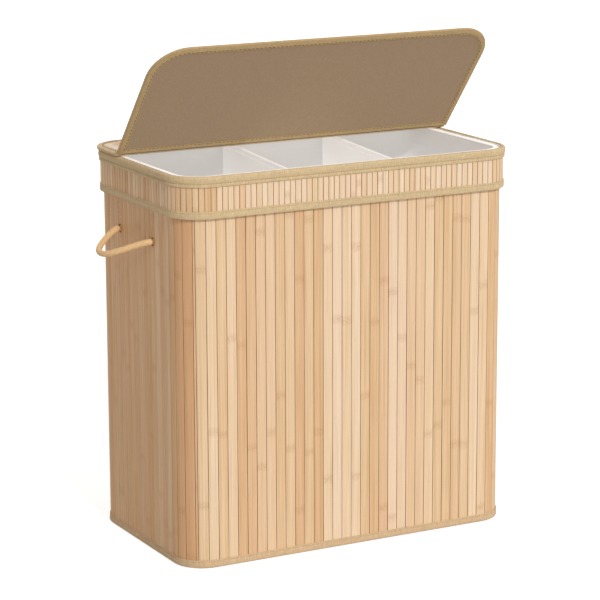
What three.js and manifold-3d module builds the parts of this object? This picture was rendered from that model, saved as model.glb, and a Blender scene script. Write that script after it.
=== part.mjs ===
// Laundry hamper with three cloth sections: a sleeve of bamboo slats on a stiff base, a cloth
// liner with two dividers, a slatted collar that lifts off, a lid that folds back at a cloth
// hinge on the collar, and a rope handle at each end.
// Millimetres. +Z is up, -Y is the front and +X is the right-hand end seen from the front.
// The origin is on the floor, under the middle of the sleeve.

import * as THREE from 'three';
import { mergeVertices } from 'three/addons/utils/BufferGeometryUtils.js';
import Module from 'manifold-3d';

// Driving dimensions
const sleeveWidth = 594;
const sleeveDepth = 340;
const cornerRadius = 50;
const collarTopHeight = 630;
const lidOpenAngle = 50;
const hingeSetback = 58;

// Fits between pieces: sewn or glued faces, faces that part, and the sleeve in the collar
const seamGap = 0.2;
const restGap = 0.3;
const collarClearance = 0.5;

// Bamboo mat of the sleeve: upright slats with a narrow filling strip where its ends meet
const slatPitch = 17.1;
const slatThickness = 2.2;
const slatJointWidth = 1.2;
const slatJointDepth = 1.4;
const matEndStripWidth = 4;
const matEndFromFront = 29.7;

// Cloth and tape
const backingClothThickness = 0.6;
const hemTapeThickness = 0.6;
const bottomTapeThickness = 1.2;
const bottomTapeHeight = 13;
const sleeveHemHeight = 10;
const tapeRounding = 0.5;

// Base
const baseClothThickness = 1.2;
const baseBoardThickness = 3;

// Liner
const linerThickness = 1;
const linerRimHeight = 40;
const linerRimDrop = 1.5;
const dividerThickness = 1.6;
const dividerHemWidth = 3;
const dividerHemHeight = 10;
const dividerDrop = 4;
const dividerShift = 11;
const dividerSlant = 38;
const gripStripWidth = 16;
const gripStripInset = 60;

// Collar
const collarHeight = 67;
const collarLiningThickness = 0.4;
const collarBoardThickness = 1.7;
const collarSlatPitch = 9.8;
const collarSlatThickness = 1.4;
const collarSlatJointWidth = 0.8;
const collarSlatJointDepth = 0.9;
const collarSlatsFromFront = 4;
const collarTopTapeHeight = 17.5;
const collarTopTapeFoldHeight = 6;
const collarTopTapeBulge = 2.6;
const collarTopTapeFoldBulge = 1.6;
const collarTopTapeThickness = 1.4;
const collarLowTapeHeight = 12.5;
const collarLowTapeThickness = 1;
const collarSeatThickness = 2;

// Lid: the hinged flap and the strip behind it that stays on the collar
const lidSideOverhang = 2.2;
const lidFrontOverhang = 4.7;
const lidLiningThickness = 0.5;
const lidBoardThickness = 2.3;
const lidSlatThickness = 1.4;
const lidTapeThickness = 0.7;
const lidTapeEdgeThickness = 1;
const lidTapeWidth = 11.5;
const lidTapeRounding = 0.6;
const hingeTapeRadius = 0.8;
const hingeTapeEndInset = 12;

// Rope handles, hung a set way below the top of the collar and a little behind the middle
const handleDrop = 118.5;
const handleSetback = 6.5;
const handleSpan = 124;
const ropeDiameter = 10;
const ropeHoleDiameter = 14;
const knotDiameter = 20;
const knotThickness = 7.5;

// A handle rope's route from its rear end to its front end: how far it stands out from the
// pivot, how far along the wall it is from the middle of the handle, and how far it has sunk
const ropeRoute = [
  [0, 62, 0], [5.5, 59.3, 1.3], [12, 55, 3.4], [18.5, 50.6, 5.9], [25, 46.2, 8.6], [31, 41.6, 11.3],
  [36.8, 36.8, 14], [42.3, 31.4, 16.6], [47.3, 25.6, 19.1], [51.6, 19, 21.3], [54.6, 11, 22.9],
  [55.9, 0, 23.6], [54.6, -11, 22.9], [51.6, -19, 21.3], [47.3, -25.6, 19.1], [42.3, -31.4, 16.6],
  [36.8, -36.8, 14], [31, -41.6, 11.3], [25, -46.2, 8.6], [18.5, -50.6, 5.9], [12, -55, 3.4],
  [5.5, -59.3, 1.3], [0, -62, 0],
];

// How finely round pieces are faceted
const lidCornerSegments = 7;
const ropeSides = 10;
const ropeSteps = 32;
const holeSegments = 16;
const knotSegments = 14;
const hingeTapeSides = 8;

// Shapes given as shares of the piece that carries them
const knotProfileShare = [[0.8, 0], [1, 0.28], [1, 0.62], [0.72, 0.92]];

// Colours and finishes
const bamboo = { color: 0xe4c19a, roughness: 0.62 };
const bambooFine = { color: 0xe8c8a0, roughness: 0.62 };
const wovenTape = { color: 0xcfb385, roughness: 0.9 };
const backingCloth = { color: 0xb89a72, roughness: 0.95 };
const lidCloth = { color: 0x9a805f, roughness: 0.92 };
const linerCloth = { color: 0xdcd8d3, roughness: 0.95 };
const fibreboard = { color: 0x8f7048, roughness: 0.85 };
const facedBoard = { color: 0xdcd4c8, roughness: 0.7 };
const rope = { color: 0xc89f72, roughness: 0.85 };
const gripTape = { color: 0xe6e2dc, roughness: 0.9 };

const hamper = new THREE.Group();
const library = await Module();
library.setup();

function addMesh(parent, name, geometry, finish) {
  const material = new THREE.MeshStandardMaterial({ metalness: 0, ...finish });
  const mesh = new THREE.Mesh(geometry, material);
  mesh.name = name;
  parent.add(mesh);
  return mesh;
}

// Solid cuts and joins

function toSolid(geometry) {
  const bare = geometry.clone();
  bare.deleteAttribute('normal');
  bare.deleteAttribute('uv');
  const merged = mergeVertices(bare);
  return new library.Manifold(new library.Mesh({
    numProp: 3,
    vertProperties: new Float32Array(merged.attributes.position.array),
    triVerts: new Uint32Array(merged.index.array),
  }));
}

function toGeometry(solid) {
  const { vertProperties, triVerts } = solid.getMesh();
  const geometry = new THREE.BufferGeometry();
  geometry.setAttribute('position', new THREE.BufferAttribute(vertProperties, 3));
  geometry.setIndex(new THREE.BufferAttribute(triVerts, 1));
  geometry.computeVertexNormals();
  return geometry;
}

function cutBy(geometry, tools) {
  return toGeometry(tools.reduce((solid, tool) => solid.subtract(toSolid(tool)), toSolid(geometry)));
}

// The sleeve's outer face seen from above: flats joined by quarter circles. Its length is
// measured anticlockwise from the left end of the front flat, and a station is a point of it
// with the way straight out of the wall, so every layer of the wall is an offset from it.

const frontFlat = sleeveWidth - 2 * cornerRadius;
const sideFlat = sleeveDepth - 2 * cornerRadius;

function pathSides(offset) {
  const arc = (cornerRadius + offset) * Math.PI / 2;
  return { arc, lengths: [frontFlat, arc, sideFlat, arc, frontFlat, arc, sideFlat, arc] };
}

function pathLength(offset) {
  return pathSides(offset).lengths.reduce((sum, length) => sum + length, 0);
}

function stationAt(distance, offset) {
  const { arc, lengths } = pathSides(offset);
  const total = pathLength(offset);
  let left = ((distance % total) + total) % total;
  let side = 0;
  while (left > lengths[side]) {
    left -= lengths[side];
    side += 1;
  }
  const quarter = Math.floor(side / 2);
  const alongX = quarter % 2 === 0;
  const half = alongX ? frontFlat / 2 : sideFlat / 2;
  const depth = alongX ? sleeveDepth / 2 : sleeveWidth / 2;
  const flat = side % 2 === 0;
  const turn = flat ? 0 : (left / arc) * (Math.PI / 2);
  const along = flat ? left - half : half + cornerRadius * Math.sin(turn);
  const out = flat ? depth : depth - cornerRadius + cornerRadius * Math.cos(turn);
  const heading = quarter * Math.PI / 2;
  const cos = Math.round(Math.cos(heading));
  const sin = Math.round(Math.sin(heading));
  return {
    point: new THREE.Vector2(along * cos + out * sin, along * sin - out * cos),
    outward: new THREE.Vector2(
      Math.sin(turn) * cos + Math.cos(turn) * sin,
      Math.sin(turn) * sin - Math.cos(turn) * cos,
    ),
  };
}

function offsetPoint(station, offset) {
  return station.point.clone().addScaledVector(station.outward, offset);
}

// A mat's joints, and the joint nearest to each end of each flat, where its panels part

function layMat(offset, pitch, firstJoint, endStrip) {
  const length = pathLength(offset);
  const count = Math.round((length - endStrip) / pitch);
  const step = (length - endStrip) / count;
  const jointCount = endStrip > 0 ? count + 1 : count;
  const joints = Array.from({ length: jointCount }, (_, i) => firstJoint + i * step);
  const flatEnds = [];
  let distance = 0;
  for (const side of pathSides(offset).lengths) {
    flatEnds.push(distance);
    distance += side;
  }
  const partings = flatEnds.map((end) => {
    const turns = [end, end + length];
    const gap = (joint) => Math.min(...turns.map((place) => Math.abs(joint - place)));
    return joints.reduce((best, joint, i) => (gap(joint) < gap(joints[best]) ? i : best), 0);
  });
  return { offset, length, joints, partings };
}

const sleeveMat = layMat(0, slatPitch, -matEndFromFront, matEndStripWidth);

// Stations of a layer that follows a mat from one joint to another, without the needless
// ones in the middle of a flat

function stationsOf(mat, distances) {
  const stations = distances.map((distance) => stationAt(distance, mat.offset));
  const same = (a, b) => a && b && a.outward.distanceTo(b.outward) < Number.EPSILON;
  return stations.filter((station, i) => {
    const before = stations[i - 1];
    const after = stations[i + 1];
    return !(same(before, station) && same(station, after));
  });
}

function ringStations(mat) {
  return stationsOf(mat, mat.joints);
}

// Distances along the path from one parting of a mat to another, going anticlockwise

function jointsBetween(mat, from, to) {
  const first = mat.partings[from];
  const last = mat.partings[to];
  if (first < last) {
    return mat.joints.slice(first, last + 1);
  }
  const round = mat.joints.slice(0, last + 1).map((joint) => joint + mat.length);
  return [...mat.joints.slice(first), ...round];
}

function polygonSolid(points, bottom, top) {
  const geometry = new THREE.ExtrudeGeometry(new THREE.Shape(points), {
    depth: top - bottom,
    bevelEnabled: false,
  });
  return geometry.translate(0, 0, bottom);
}

// A flat-sided band of wall between two offsets, along part of the path

function band(mat, distances, inner, outer, bottom, top) {
  const ends = [...distances];
  ends[0] += seamGap / 2;
  ends[ends.length - 1] -= seamGap / 2;
  const stations = stationsOf(mat, ends);
  const outside = stations.map((station) => offsetPoint(station, outer));
  const inside = stations.map((station) => offsetPoint(station, inner)).reverse();
  return polygonSolid([...outside, ...inside], bottom, top);
}

// Slats side by side with a V between each two, on a thin web that holds them together

function slatBand(mat, distances, face, thickness, jointWidth, jointDepth, bottom, top) {
  const outside = [];
  const inside = [];
  const place = (distance, offset) => offsetPoint(stationAt(distance, mat.offset), offset);
  const last = distances.length - 1;
  distances.forEach((joint, i) => {
    if (i > 0) {
      outside.push(place(joint - jointWidth / 2, face));
    }
    if (i > 0 && i < last) {
      outside.push(place(joint, face - jointDepth));
    }
    if (i < last) {
      outside.push(place(joint + jointWidth / 2, face));
    }
  });
  const endGap = seamGap / 2;
  const start = distances[0] + endGap;
  const end = distances[last] - endGap;
  const stations = stationsOf(mat, [start, ...distances.slice(1, last), end]);
  inside.push(...stations.map((station) => offsetPoint(station, face - thickness)).reverse());
  const edges = [place(start, face - jointDepth), ...outside, place(end, face - jointDepth)];
  return polygonSolid([...edges, ...inside], bottom, top);
}

// A closed loop of one cross-section, given as [offset, height] points, round a list of stations

function sweep(stations, profile) {
  const positions = [];
  for (const station of stations) {
    for (const [offset, height] of profile) {
      const { x, y } = offsetPoint(station, offset);
      positions.push(x, y, height);
    }
  }
  const rows = stations.length;
  const columns = profile.length;
  const faces = [];
  for (let row = 0; row < rows; row += 1) {
    for (let column = 0; column < columns; column += 1) {
      const here = row * columns;
      const next = ((row + 1) % rows) * columns;
      const side = (column + 1) % columns;
      faces.push([here + column, next + column, next + side], [here + column, next + side, here + side]);
    }
  }
  const geometry = new THREE.BufferGeometry();
  geometry.setAttribute('position', new THREE.Float32BufferAttribute(positions, 3));
  const corner = (index) => new THREE.Vector3().fromArray(positions, index * 3);
  const volume = faces.reduce(
    (sum, [a, b, c]) => sum + corner(a).dot(corner(b).cross(corner(c))), 0);
  geometry.setIndex(faces.flatMap(([a, b, c]) => (volume > 0 ? [a, b, c] : [a, c, b])));
  geometry.computeVertexNormals();
  return geometry;
}

function boxProfile(inner, outer, bottom, top) {
  return [[inner, bottom], [outer, bottom], [outer, top], [inner, top]];
}

// Tape folded over an edge: its outer leg, its fold and its inner leg, with a gap to what it
// holds. It opens upwards for rise = 1 and downwards for rise = -1.

function foldedTapeProfile(outerFace, innerFace, fold, rise, leg, thickness) {
  const outerSkin = outerFace + seamGap + thickness;
  const innerSkin = innerFace - seamGap - thickness;
  const floor = fold + rise * thickness;
  return [
    [outerSkin, fold + rise * tapeRounding], [outerSkin, fold + rise * leg],
    [outerFace + seamGap, fold + rise * leg], [outerFace + seamGap, floor],
    [innerFace - seamGap, floor], [innerFace - seamGap, fold + rise * leg],
    [innerSkin, fold + rise * leg], [innerSkin, fold + rise * tapeRounding],
    [innerSkin + tapeRounding, fold], [outerSkin - tapeRounding, fold],
  ];
}

// Heights and offsets that the layers share

const handleHeight = collarTopHeight - handleDrop;
const collarBottomHeight = collarTopHeight - collarHeight;
const sleeveBottom = bottomTapeThickness + seamGap;
const clothOuter = -slatThickness - seamGap;
const clothInner = clothOuter - backingClothThickness;
const sleeveHemOuter = seamGap + hemTapeThickness;
const sleeveHemInner = clothInner - seamGap - hemTapeThickness;

const collarLiningInner = sleeveHemOuter + collarClearance;
const collarLiningOuter = collarLiningInner + collarLiningThickness;
const collarBoardInner = collarLiningOuter + seamGap;
const collarBoardOuter = collarBoardInner + collarBoardThickness;
const collarSlatsInner = collarBoardOuter + seamGap;
const collarFace = collarSlatsInner + collarSlatThickness;
const collarSkin = collarFace + seamGap + collarTopTapeBulge;
const collarSlatsTop = collarTopHeight - collarTopTapeThickness - seamGap;
const collarSeatOuter = collarLiningInner - seamGap;
const collarTopTapeInner = collarSeatOuter - collarTopTapeThickness;
const collarSeatTop = collarTopHeight - collarTopTapeThickness - collarTopTapeFoldHeight;
const collarSeatBottom = collarSeatTop - collarSeatThickness;
const collarSeatInner = sleeveHemInner + seamGap;

const sleeveTop = collarSeatBottom - restGap;
const slatsTop = sleeveTop - hemTapeThickness - seamGap;

const baseBoardBottom = baseClothThickness + seamGap;
const baseBoardTop = baseBoardBottom + baseBoardThickness;
const baseEdge = clothInner - 2 * seamGap - bottomTapeThickness;

const linerOuter = clothInner - seamGap - knotThickness - restGap;
const linerInner = linerOuter - linerThickness;
const linerBottom = baseBoardTop + restGap;
const linerRimOuter = sleeveHemInner - restGap;
const linerRimTop = collarTopHeight - linerRimDrop;
const linerRimBottom = linerRimTop - linerRimHeight;
const linerWallTop = linerRimBottom - seamGap;

// Sleeve

const holePlaces = [-1, 1].map((end) => handleSetback + end * handleSpan / 2);

function ropeHoles(side) {
  return holePlaces.map((place) => {
    const length = slatThickness + backingClothThickness + ropeHoleDiameter;
    const radius = ropeHoleDiameter / 2;
    const hole = new THREE.CylinderGeometry(radius, radius, 2 * length, holeSegments);
    hole.rotateZ(Math.PI / 2);
    return hole.translate(side * sleeveWidth / 2, place, handleHeight);
  });
}

function addSleeveSlats() {
  const panels = [
    ['front_slats', 0, 1], ['front_right_corner_slats', 1, 2], ['right_slats', 2, 3],
    ['back_right_corner_slats', 3, 4], ['back_slats', 4, 5], ['back_left_corner_slats', 5, 6],
    ['left_slats', 6, 7],
  ];
  const slats = (distances) => slatBand(
    sleeveMat, distances, 0, slatThickness, slatJointWidth, slatJointDepth, sleeveBottom, slatsTop);
  for (const [name, from, to] of panels) {
    let geometry = slats(jointsBetween(sleeveMat, from, to));
    if (name === 'right_slats') {
      geometry = cutBy(geometry, ropeHoles(1));
    }
    if (name === 'left_slats') {
      geometry = cutBy(geometry, ropeHoles(-1));
    }
    addMesh(hamper, name, geometry, bamboo);
  }
  const { joints, partings, length } = sleeveMat;
  const lastJoint = joints[joints.length - 1];
  addMesh(hamper, 'front_left_corner_side_slats', slats(joints.slice(partings[7])), bamboo);
  addMesh(hamper, 'front_left_corner_slats', slats(joints.slice(0, partings[0] + 1)), bamboo);
  const strip = [lastJoint, joints[0] + length];
  addMesh(hamper, 'mat_end_strip', slats(strip), bamboo);
}

function addBackingCloth() {
  const profile = boxProfile(clothInner, clothOuter, sleeveBottom, slatsTop);
  const cloth = sweep(ringStations(sleeveMat), profile);
  const holed = cutBy(cloth, [...ropeHoles(1), ...ropeHoles(-1)]);
  addMesh(hamper, 'sleeve_backing_cloth', holed, backingCloth);
}

function addSleeveTapes() {
  const stations = ringStations(sleeveMat);
  const bottom = foldedTapeProfile(0, clothInner, 0, 1, bottomTapeHeight, bottomTapeThickness);
  addMesh(hamper, 'bottom_binding', sweep(stations, bottom), wovenTape);
  const top = foldedTapeProfile(0, clothInner, sleeveTop, -1, sleeveHemHeight, hemTapeThickness);
  addMesh(hamper, 'sleeve_top_binding', sweep(stations, top), wovenTape);
}

function addBase() {
  const outline = ringStations(sleeveMat).map((station) => offsetPoint(station, baseEdge));
  addMesh(hamper, 'base_cloth', polygonSolid(outline, 0, baseClothThickness), backingCloth);
  const board = polygonSolid(outline, baseBoardBottom, baseBoardTop);
  addMesh(hamper, 'base_board', board, fibreboard);
}

// Liner

function addLiner() {
  const stations = ringStations(sleeveMat);
  const floor = stations.map((station) => offsetPoint(station, linerInner - seamGap));
  const floorTop = linerBottom + linerThickness;
  addMesh(hamper, 'liner_floor', polygonSolid(floor, linerBottom, floorTop), linerCloth);
  const panels = [
    ['liner_front_panel', 0, 1], ['liner_right_panel', 1, 4],
    ['liner_back_panel', 4, 5], ['liner_left_panel', 5, 0],
  ];
  for (const [name, from, to] of panels) {
    const distances = jointsBetween(sleeveMat, from, to);
    const wall = band(sleeveMat, distances, linerInner, linerOuter, linerBottom, linerWallTop);
    addMesh(hamper, name, wall, linerCloth);
  }
  const rim = boxProfile(linerInner, linerRimOuter, linerRimBottom, linerRimTop);
  addMesh(hamper, 'liner_rim', sweep(stations, rim), linerCloth);
}

function addDividers() {
  const clearWidth = sleeveWidth + 2 * linerInner;
  const clearDepth = sleeveDepth + 2 * (linerInner - seamGap);
  const bottom = linerBottom + linerThickness + seamGap;
  const hemTop = linerRimTop - dividerDrop;
  const top = hemTop - dividerHemHeight - seamGap;
  const slant = new THREE.Matrix4().makeShear(0, 0, dividerSlant / clearDepth, 0, 0, 0);
  for (const [side, name] of [[-1, 'left'], [1, 'right']]) {
    const place = dividerShift + side * clearWidth / 6;
    const wall = new THREE.BoxGeometry(dividerThickness, clearDepth, top - bottom);
    wall.applyMatrix4(slant).translate(place, 0, (top + bottom) / 2);
    addMesh(hamper, `divider_${name}`, wall, linerCloth);
    const hem = new THREE.BoxGeometry(dividerHemWidth, clearDepth, dividerHemHeight);
    hem.applyMatrix4(slant).translate(place, 0, hemTop - dividerHemHeight / 2);
    addMesh(hamper, `divider_hem_${name}`, hem, linerCloth);
  }
}

// Hook-and-loop strips that hold the liner's rim to the sleeve, front and back

function addGripStrips() {
  const gap = clothInner - linerRimOuter;
  const thickness = gap - 2 * seamGap;
  const length = frontFlat - 2 * gripStripInset;
  const top = sleeveTop - sleeveHemHeight - seamGap;
  const out = sleeveDepth / 2 + clothInner - gap / 2;
  for (const [side, name] of [[-1, 'front'], [1, 'back']]) {
    const strip = new THREE.BoxGeometry(length, thickness, gripStripWidth);
    strip.translate(0, side * out, top - gripStripWidth / 2);
    addMesh(hamper, `liner_grip_strip_${name}`, strip, gripTape);
  }
}

// Collar

const collar = new THREE.Group();
hamper.add(collar);
const collarMat = layMat(collarFace, collarSlatPitch, collarSlatsFromFront, 0);

function addCollarWall() {
  const stations = ringStations(collarMat);
  const wall = (inner, outer, top) => sweep(
    stations, boxProfile(inner, outer, collarBottomHeight + collarLowTapeThickness + seamGap, top));
  const lining = wall(collarLiningInner, collarLiningOuter, collarSlatsTop);
  addMesh(collar, 'collar_lining', lining, backingCloth);
  const board = wall(collarBoardInner, collarBoardOuter, collarSlatsTop);
  addMesh(collar, 'collar_board', board, fibreboard);
  const seat = boxProfile(collarSeatInner, collarSeatOuter, collarSeatBottom, collarSeatTop);
  addMesh(collar, 'collar_seat', sweep(stations, seat), facedBoard);
}

function addCollarSlats() {
  const names = [
    'collar_front_slats', 'collar_front_right_slats', 'collar_right_slats',
    'collar_back_right_slats', 'collar_back_slats', 'collar_back_left_slats',
    'collar_left_slats', 'collar_front_left_slats',
  ];
  const bottom = collarBottomHeight + collarLowTapeThickness + seamGap;
  names.forEach((name, i) => {
    const distances = jointsBetween(collarMat, i, (i + 1) % names.length);
    const geometry = slatBand(
      collarMat, distances, collarFace, collarSlatThickness,
      collarSlatJointWidth, collarSlatJointDepth, bottom, collarSlatsTop);
    addMesh(collar, name, geometry, bambooFine);
  });
}

function addCollarTapes() {
  const stations = ringStations(collarMat);
  const face = collarFace + seamGap;
  const lowSkin = face + collarLowTapeThickness;
  const lowFold = collarBottomHeight + collarLowTapeThickness;
  const lowTape = [
    [lowSkin, collarBottomHeight + tapeRounding], [lowSkin, collarBottomHeight + collarLowTapeHeight],
    [face, collarBottomHeight + collarLowTapeHeight], [face, lowFold], [collarLiningInner, lowFold],
    [collarLiningInner, collarBottomHeight], [lowSkin - tapeRounding, collarBottomHeight],
  ];
  addMesh(collar, 'collar_bottom_binding', sweep(stations, lowTape), wovenTape);
  const foldTop = collarTopHeight - collarTopTapeHeight + collarTopTapeFoldHeight;
  const bottom = collarTopHeight - collarTopTapeHeight;
  const foldSkin = face + collarTopTapeFoldBulge;
  const topTape = [
    [face, bottom], [foldSkin - tapeRounding, bottom], [foldSkin, bottom + tapeRounding],
    [foldSkin, foldTop], [collarSkin, foldTop + tapeRounding],
    [collarSkin, collarTopHeight - 2 * tapeRounding], [collarSkin - 2 * tapeRounding, collarTopHeight],
    [collarTopTapeInner + tapeRounding, collarTopHeight],
    [collarTopTapeInner, collarTopHeight - tapeRounding], [collarTopTapeInner, collarSeatTop + seamGap],
    [collarSeatOuter, collarSeatTop + seamGap], [collarSeatOuter, collarTopHeight - collarTopTapeThickness],
    [face, collarTopHeight - collarTopTapeThickness],
  ];
  addMesh(collar, 'collar_top_binding', sweep(stations, topTape), wovenTape);
}

// Lid panels. The flap and the fixed strip are the same sandwich: lining, board and slats,
// with woven tape folded over every edge.

const lidEdge = collarSkin + lidSideOverhang;
const lidBottom = collarTopHeight + restGap;
const lidLiningBottom = lidBottom + lidTapeThickness + seamGap;
const lidLiningTop = lidLiningBottom + lidLiningThickness;
const lidBoardBottom = lidLiningTop + seamGap;
const lidBoardTop = lidBoardBottom + lidBoardThickness;
const lidSlatsBottom = lidBoardTop + seamGap;
const lidSlatsTop = lidSlatsBottom + lidSlatThickness;
const lidTop = lidSlatsTop + seamGap + lidTapeThickness;
const hingeHeight = lidTop + seamGap;
const hingeGap = hingeTapeRadius + restGap;

// Stations round a panel that is square at the hinge and rounded at its far edge

function panelStations(nearY, farY) {
  const way = Math.sign(farY - nearY);
  const half = sleeveWidth / 2 + lidEdge;
  const radius = cornerRadius + lidEdge;
  const stations = [{
    point: new THREE.Vector2(-half, nearY),
    outward: new THREE.Vector2(-1, -way),
  }];
  for (const side of [-1, 1]) {
    for (let i = 0; i <= lidCornerSegments; i += 1) {
      const share = i / lidCornerSegments;
      const turn = (side < 0 ? share : 1 - share) * Math.PI / 2;
      const outward = new THREE.Vector2(side * Math.cos(turn), way * Math.sin(turn));
      const centre = new THREE.Vector2(side * (half - radius), farY - way * radius);
      stations.push({ point: centre.addScaledVector(outward, radius), outward });
    }
  }
  stations.push({ point: new THREE.Vector2(half, nearY), outward: new THREE.Vector2(1, -way) });
  return stations;
}

function panelSlats(outline, nearY, farY) {
  const half = sleeveWidth / 2 + lidEdge;
  const count = Math.round(2 * half / slatPitch);
  const step = 2 * half / count;
  const points = [new THREE.Vector2(-half, lidSlatsTop)];
  for (let i = 1; i < count; i += 1) {
    const joint = i * step - half;
    points.push(
      new THREE.Vector2(joint - collarSlatJointWidth / 2, lidSlatsTop),
      new THREE.Vector2(joint, lidSlatsTop - collarSlatJointDepth),
      new THREE.Vector2(joint + collarSlatJointWidth / 2, lidSlatsTop),
    );
  }
  points.push(
    new THREE.Vector2(half, lidSlatsTop),
    new THREE.Vector2(half, lidSlatsBottom),
    new THREE.Vector2(-half, lidSlatsBottom),
  );
  const length = Math.abs(farY - nearY);
  const rows = new THREE.ExtrudeGeometry(new THREE.Shape(points), { depth: length, bevelEnabled: false });
  rows.rotateX(Math.PI / 2);
  rows.translate(0, Math.max(nearY, farY), 0);
  const plate = polygonSolid(outline, lidSlatsBottom - slatThickness, lidSlatsTop + slatThickness);
  return toGeometry(toSolid(rows).intersect(toSolid(plate)));
}

function addPanel(parent, prefix, nearY, farY) {
  const stations = panelStations(nearY, farY);
  const inset = -lidTapeEdgeThickness - seamGap;
  const outline = stations.map((station) => offsetPoint(station, inset));
  const plate = (bottom, top) => polygonSolid(outline, bottom, top);
  addMesh(parent, `${prefix}_lining`, plate(lidLiningBottom, lidLiningTop), lidCloth);
  addMesh(parent, `${prefix}_board`, plate(lidBoardBottom, lidBoardTop), fibreboard);
  addMesh(parent, `${prefix}_slats`, panelSlats(outline, nearY, farY), bamboo);
  const tape = [
    [-lidTapeWidth, lidBottom], [-lidTapeRounding, lidBottom], [0, lidBottom + lidTapeRounding],
    [0, lidTop - lidTapeRounding], [-lidTapeRounding, lidTop], [-lidTapeWidth, lidTop],
    [-lidTapeWidth, lidTop - lidTapeThickness], [-lidTapeEdgeThickness, lidTop - lidTapeThickness],
    [-lidTapeEdgeThickness, lidBottom + lidTapeThickness], [-lidTapeWidth, lidBottom + lidTapeThickness],
  ];
  addMesh(parent, `${prefix}_binding`, sweep(stations, tape), wovenTape);
}

function addLid() {
  const back = sleeveDepth / 2 + lidEdge;
  addPanel(collar, 'rear_strip', hingeSetback + hingeGap, back);
  const swing = new THREE.Group();
  swing.position.set(0, hingeSetback, hingeHeight);
  swing.rotation.x = -THREE.MathUtils.degToRad(lidOpenAngle);
  const closed = new THREE.Group();
  closed.position.set(0, -hingeSetback, -hingeHeight);
  swing.add(closed);
  hamper.add(swing);
  const front = -(sleeveDepth / 2 + collarSkin + lidFrontOverhang);
  addPanel(closed, 'lid', hingeSetback - hingeGap, front);
}

// The fold of the cloth hinge, a round ridge on the hinge line

function addHingeTape() {
  const length = sleeveWidth + 2 * (lidEdge - hingeTapeEndInset);
  const fold = new THREE.CylinderGeometry(hingeTapeRadius, hingeTapeRadius, length, hingeTapeSides);
  fold.rotateZ(Math.PI / 2);
  fold.translate(0, hingeSetback, hingeHeight);
  addMesh(collar, 'hinge_tape', fold, wovenTape);
}

// Rope handles

function knotGeometry(side) {
  const radius = knotDiameter / 2;
  const stub = slatThickness - clothInner + clothOuter + 2 * seamGap;
  const profile = [new THREE.Vector2(0, 0), new THREE.Vector2(ropeDiameter / 2, 0)];
  profile.push(new THREE.Vector2(ropeDiameter / 2, stub));
  for (const [width, depth] of knotProfileShare) {
    profile.push(new THREE.Vector2(width * radius, stub + depth * knotThickness));
  }
  profile.push(new THREE.Vector2(0, stub + knotThickness));
  const knot = new THREE.LatheGeometry(profile, knotSegments);
  return knot.rotateZ(side * Math.PI / 2);
}

function addHandle(side, name) {
  const wall = side * sleeveWidth / 2;
  const ends = [['front', holePlaces[0]], ['rear', holePlaces[1]]];
  for (const [end, place] of ends) {
    const knot = knotGeometry(side).translate(wall, place, handleHeight);
    addMesh(hamper, `rope_knot_${name}_${end}`, knot, rope);
  }
  const pivot = new THREE.Vector3(
    wall + side * (ropeDiameter / 2 + restGap), handleSetback, handleHeight);
  const route = ropeRoute.map(([out, along, sunk]) => new THREE.Vector3(side * out, along, -sunk));
  const section = new THREE.Shape();
  for (let i = 0; i < ropeSides; i += 1) {
    const turn = (i / ropeSides) * 2 * Math.PI;
    const x = (ropeDiameter / 2) * Math.cos(turn);
    const y = (ropeDiameter / 2) * Math.sin(turn);
    if (i === 0) {
      section.moveTo(x, y);
    } else {
      section.lineTo(x, y);
    }
  }
  section.closePath();
  const tube = new THREE.ExtrudeGeometry(section, {
    steps: ropeSteps,
    extrudePath: new THREE.CatmullRomCurve3(route),
    bevelEnabled: false,
  });
  const rounded = [route[0], route[route.length - 1]].reduce((solid, place) => {
    const end = new THREE.SphereGeometry(ropeDiameter / 2, ropeSides, ropeSides / 2);
    return solid.add(toSolid(end.translate(place.x, place.y, place.z)));
  }, toSolid(tube));
  const handle = addMesh(hamper, `handle_rope_${name}`, toGeometry(rounded), rope);
  handle.position.copy(pivot);
}

addSleeveSlats();
addBackingCloth();
addSleeveTapes();
addBase();
addLiner();
addDividers();
addGripStrips();
addCollarWall();
addCollarSlats();
addCollarTapes();
addLid();
addHingeTape();
addHandle(-1, 'left');
addHandle(1, 'right');

export default hamper;
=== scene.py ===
"""Laundry hamper of bamboo slats: its cloth, tape, rope and bamboo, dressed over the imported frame."""

import math
import random

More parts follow.
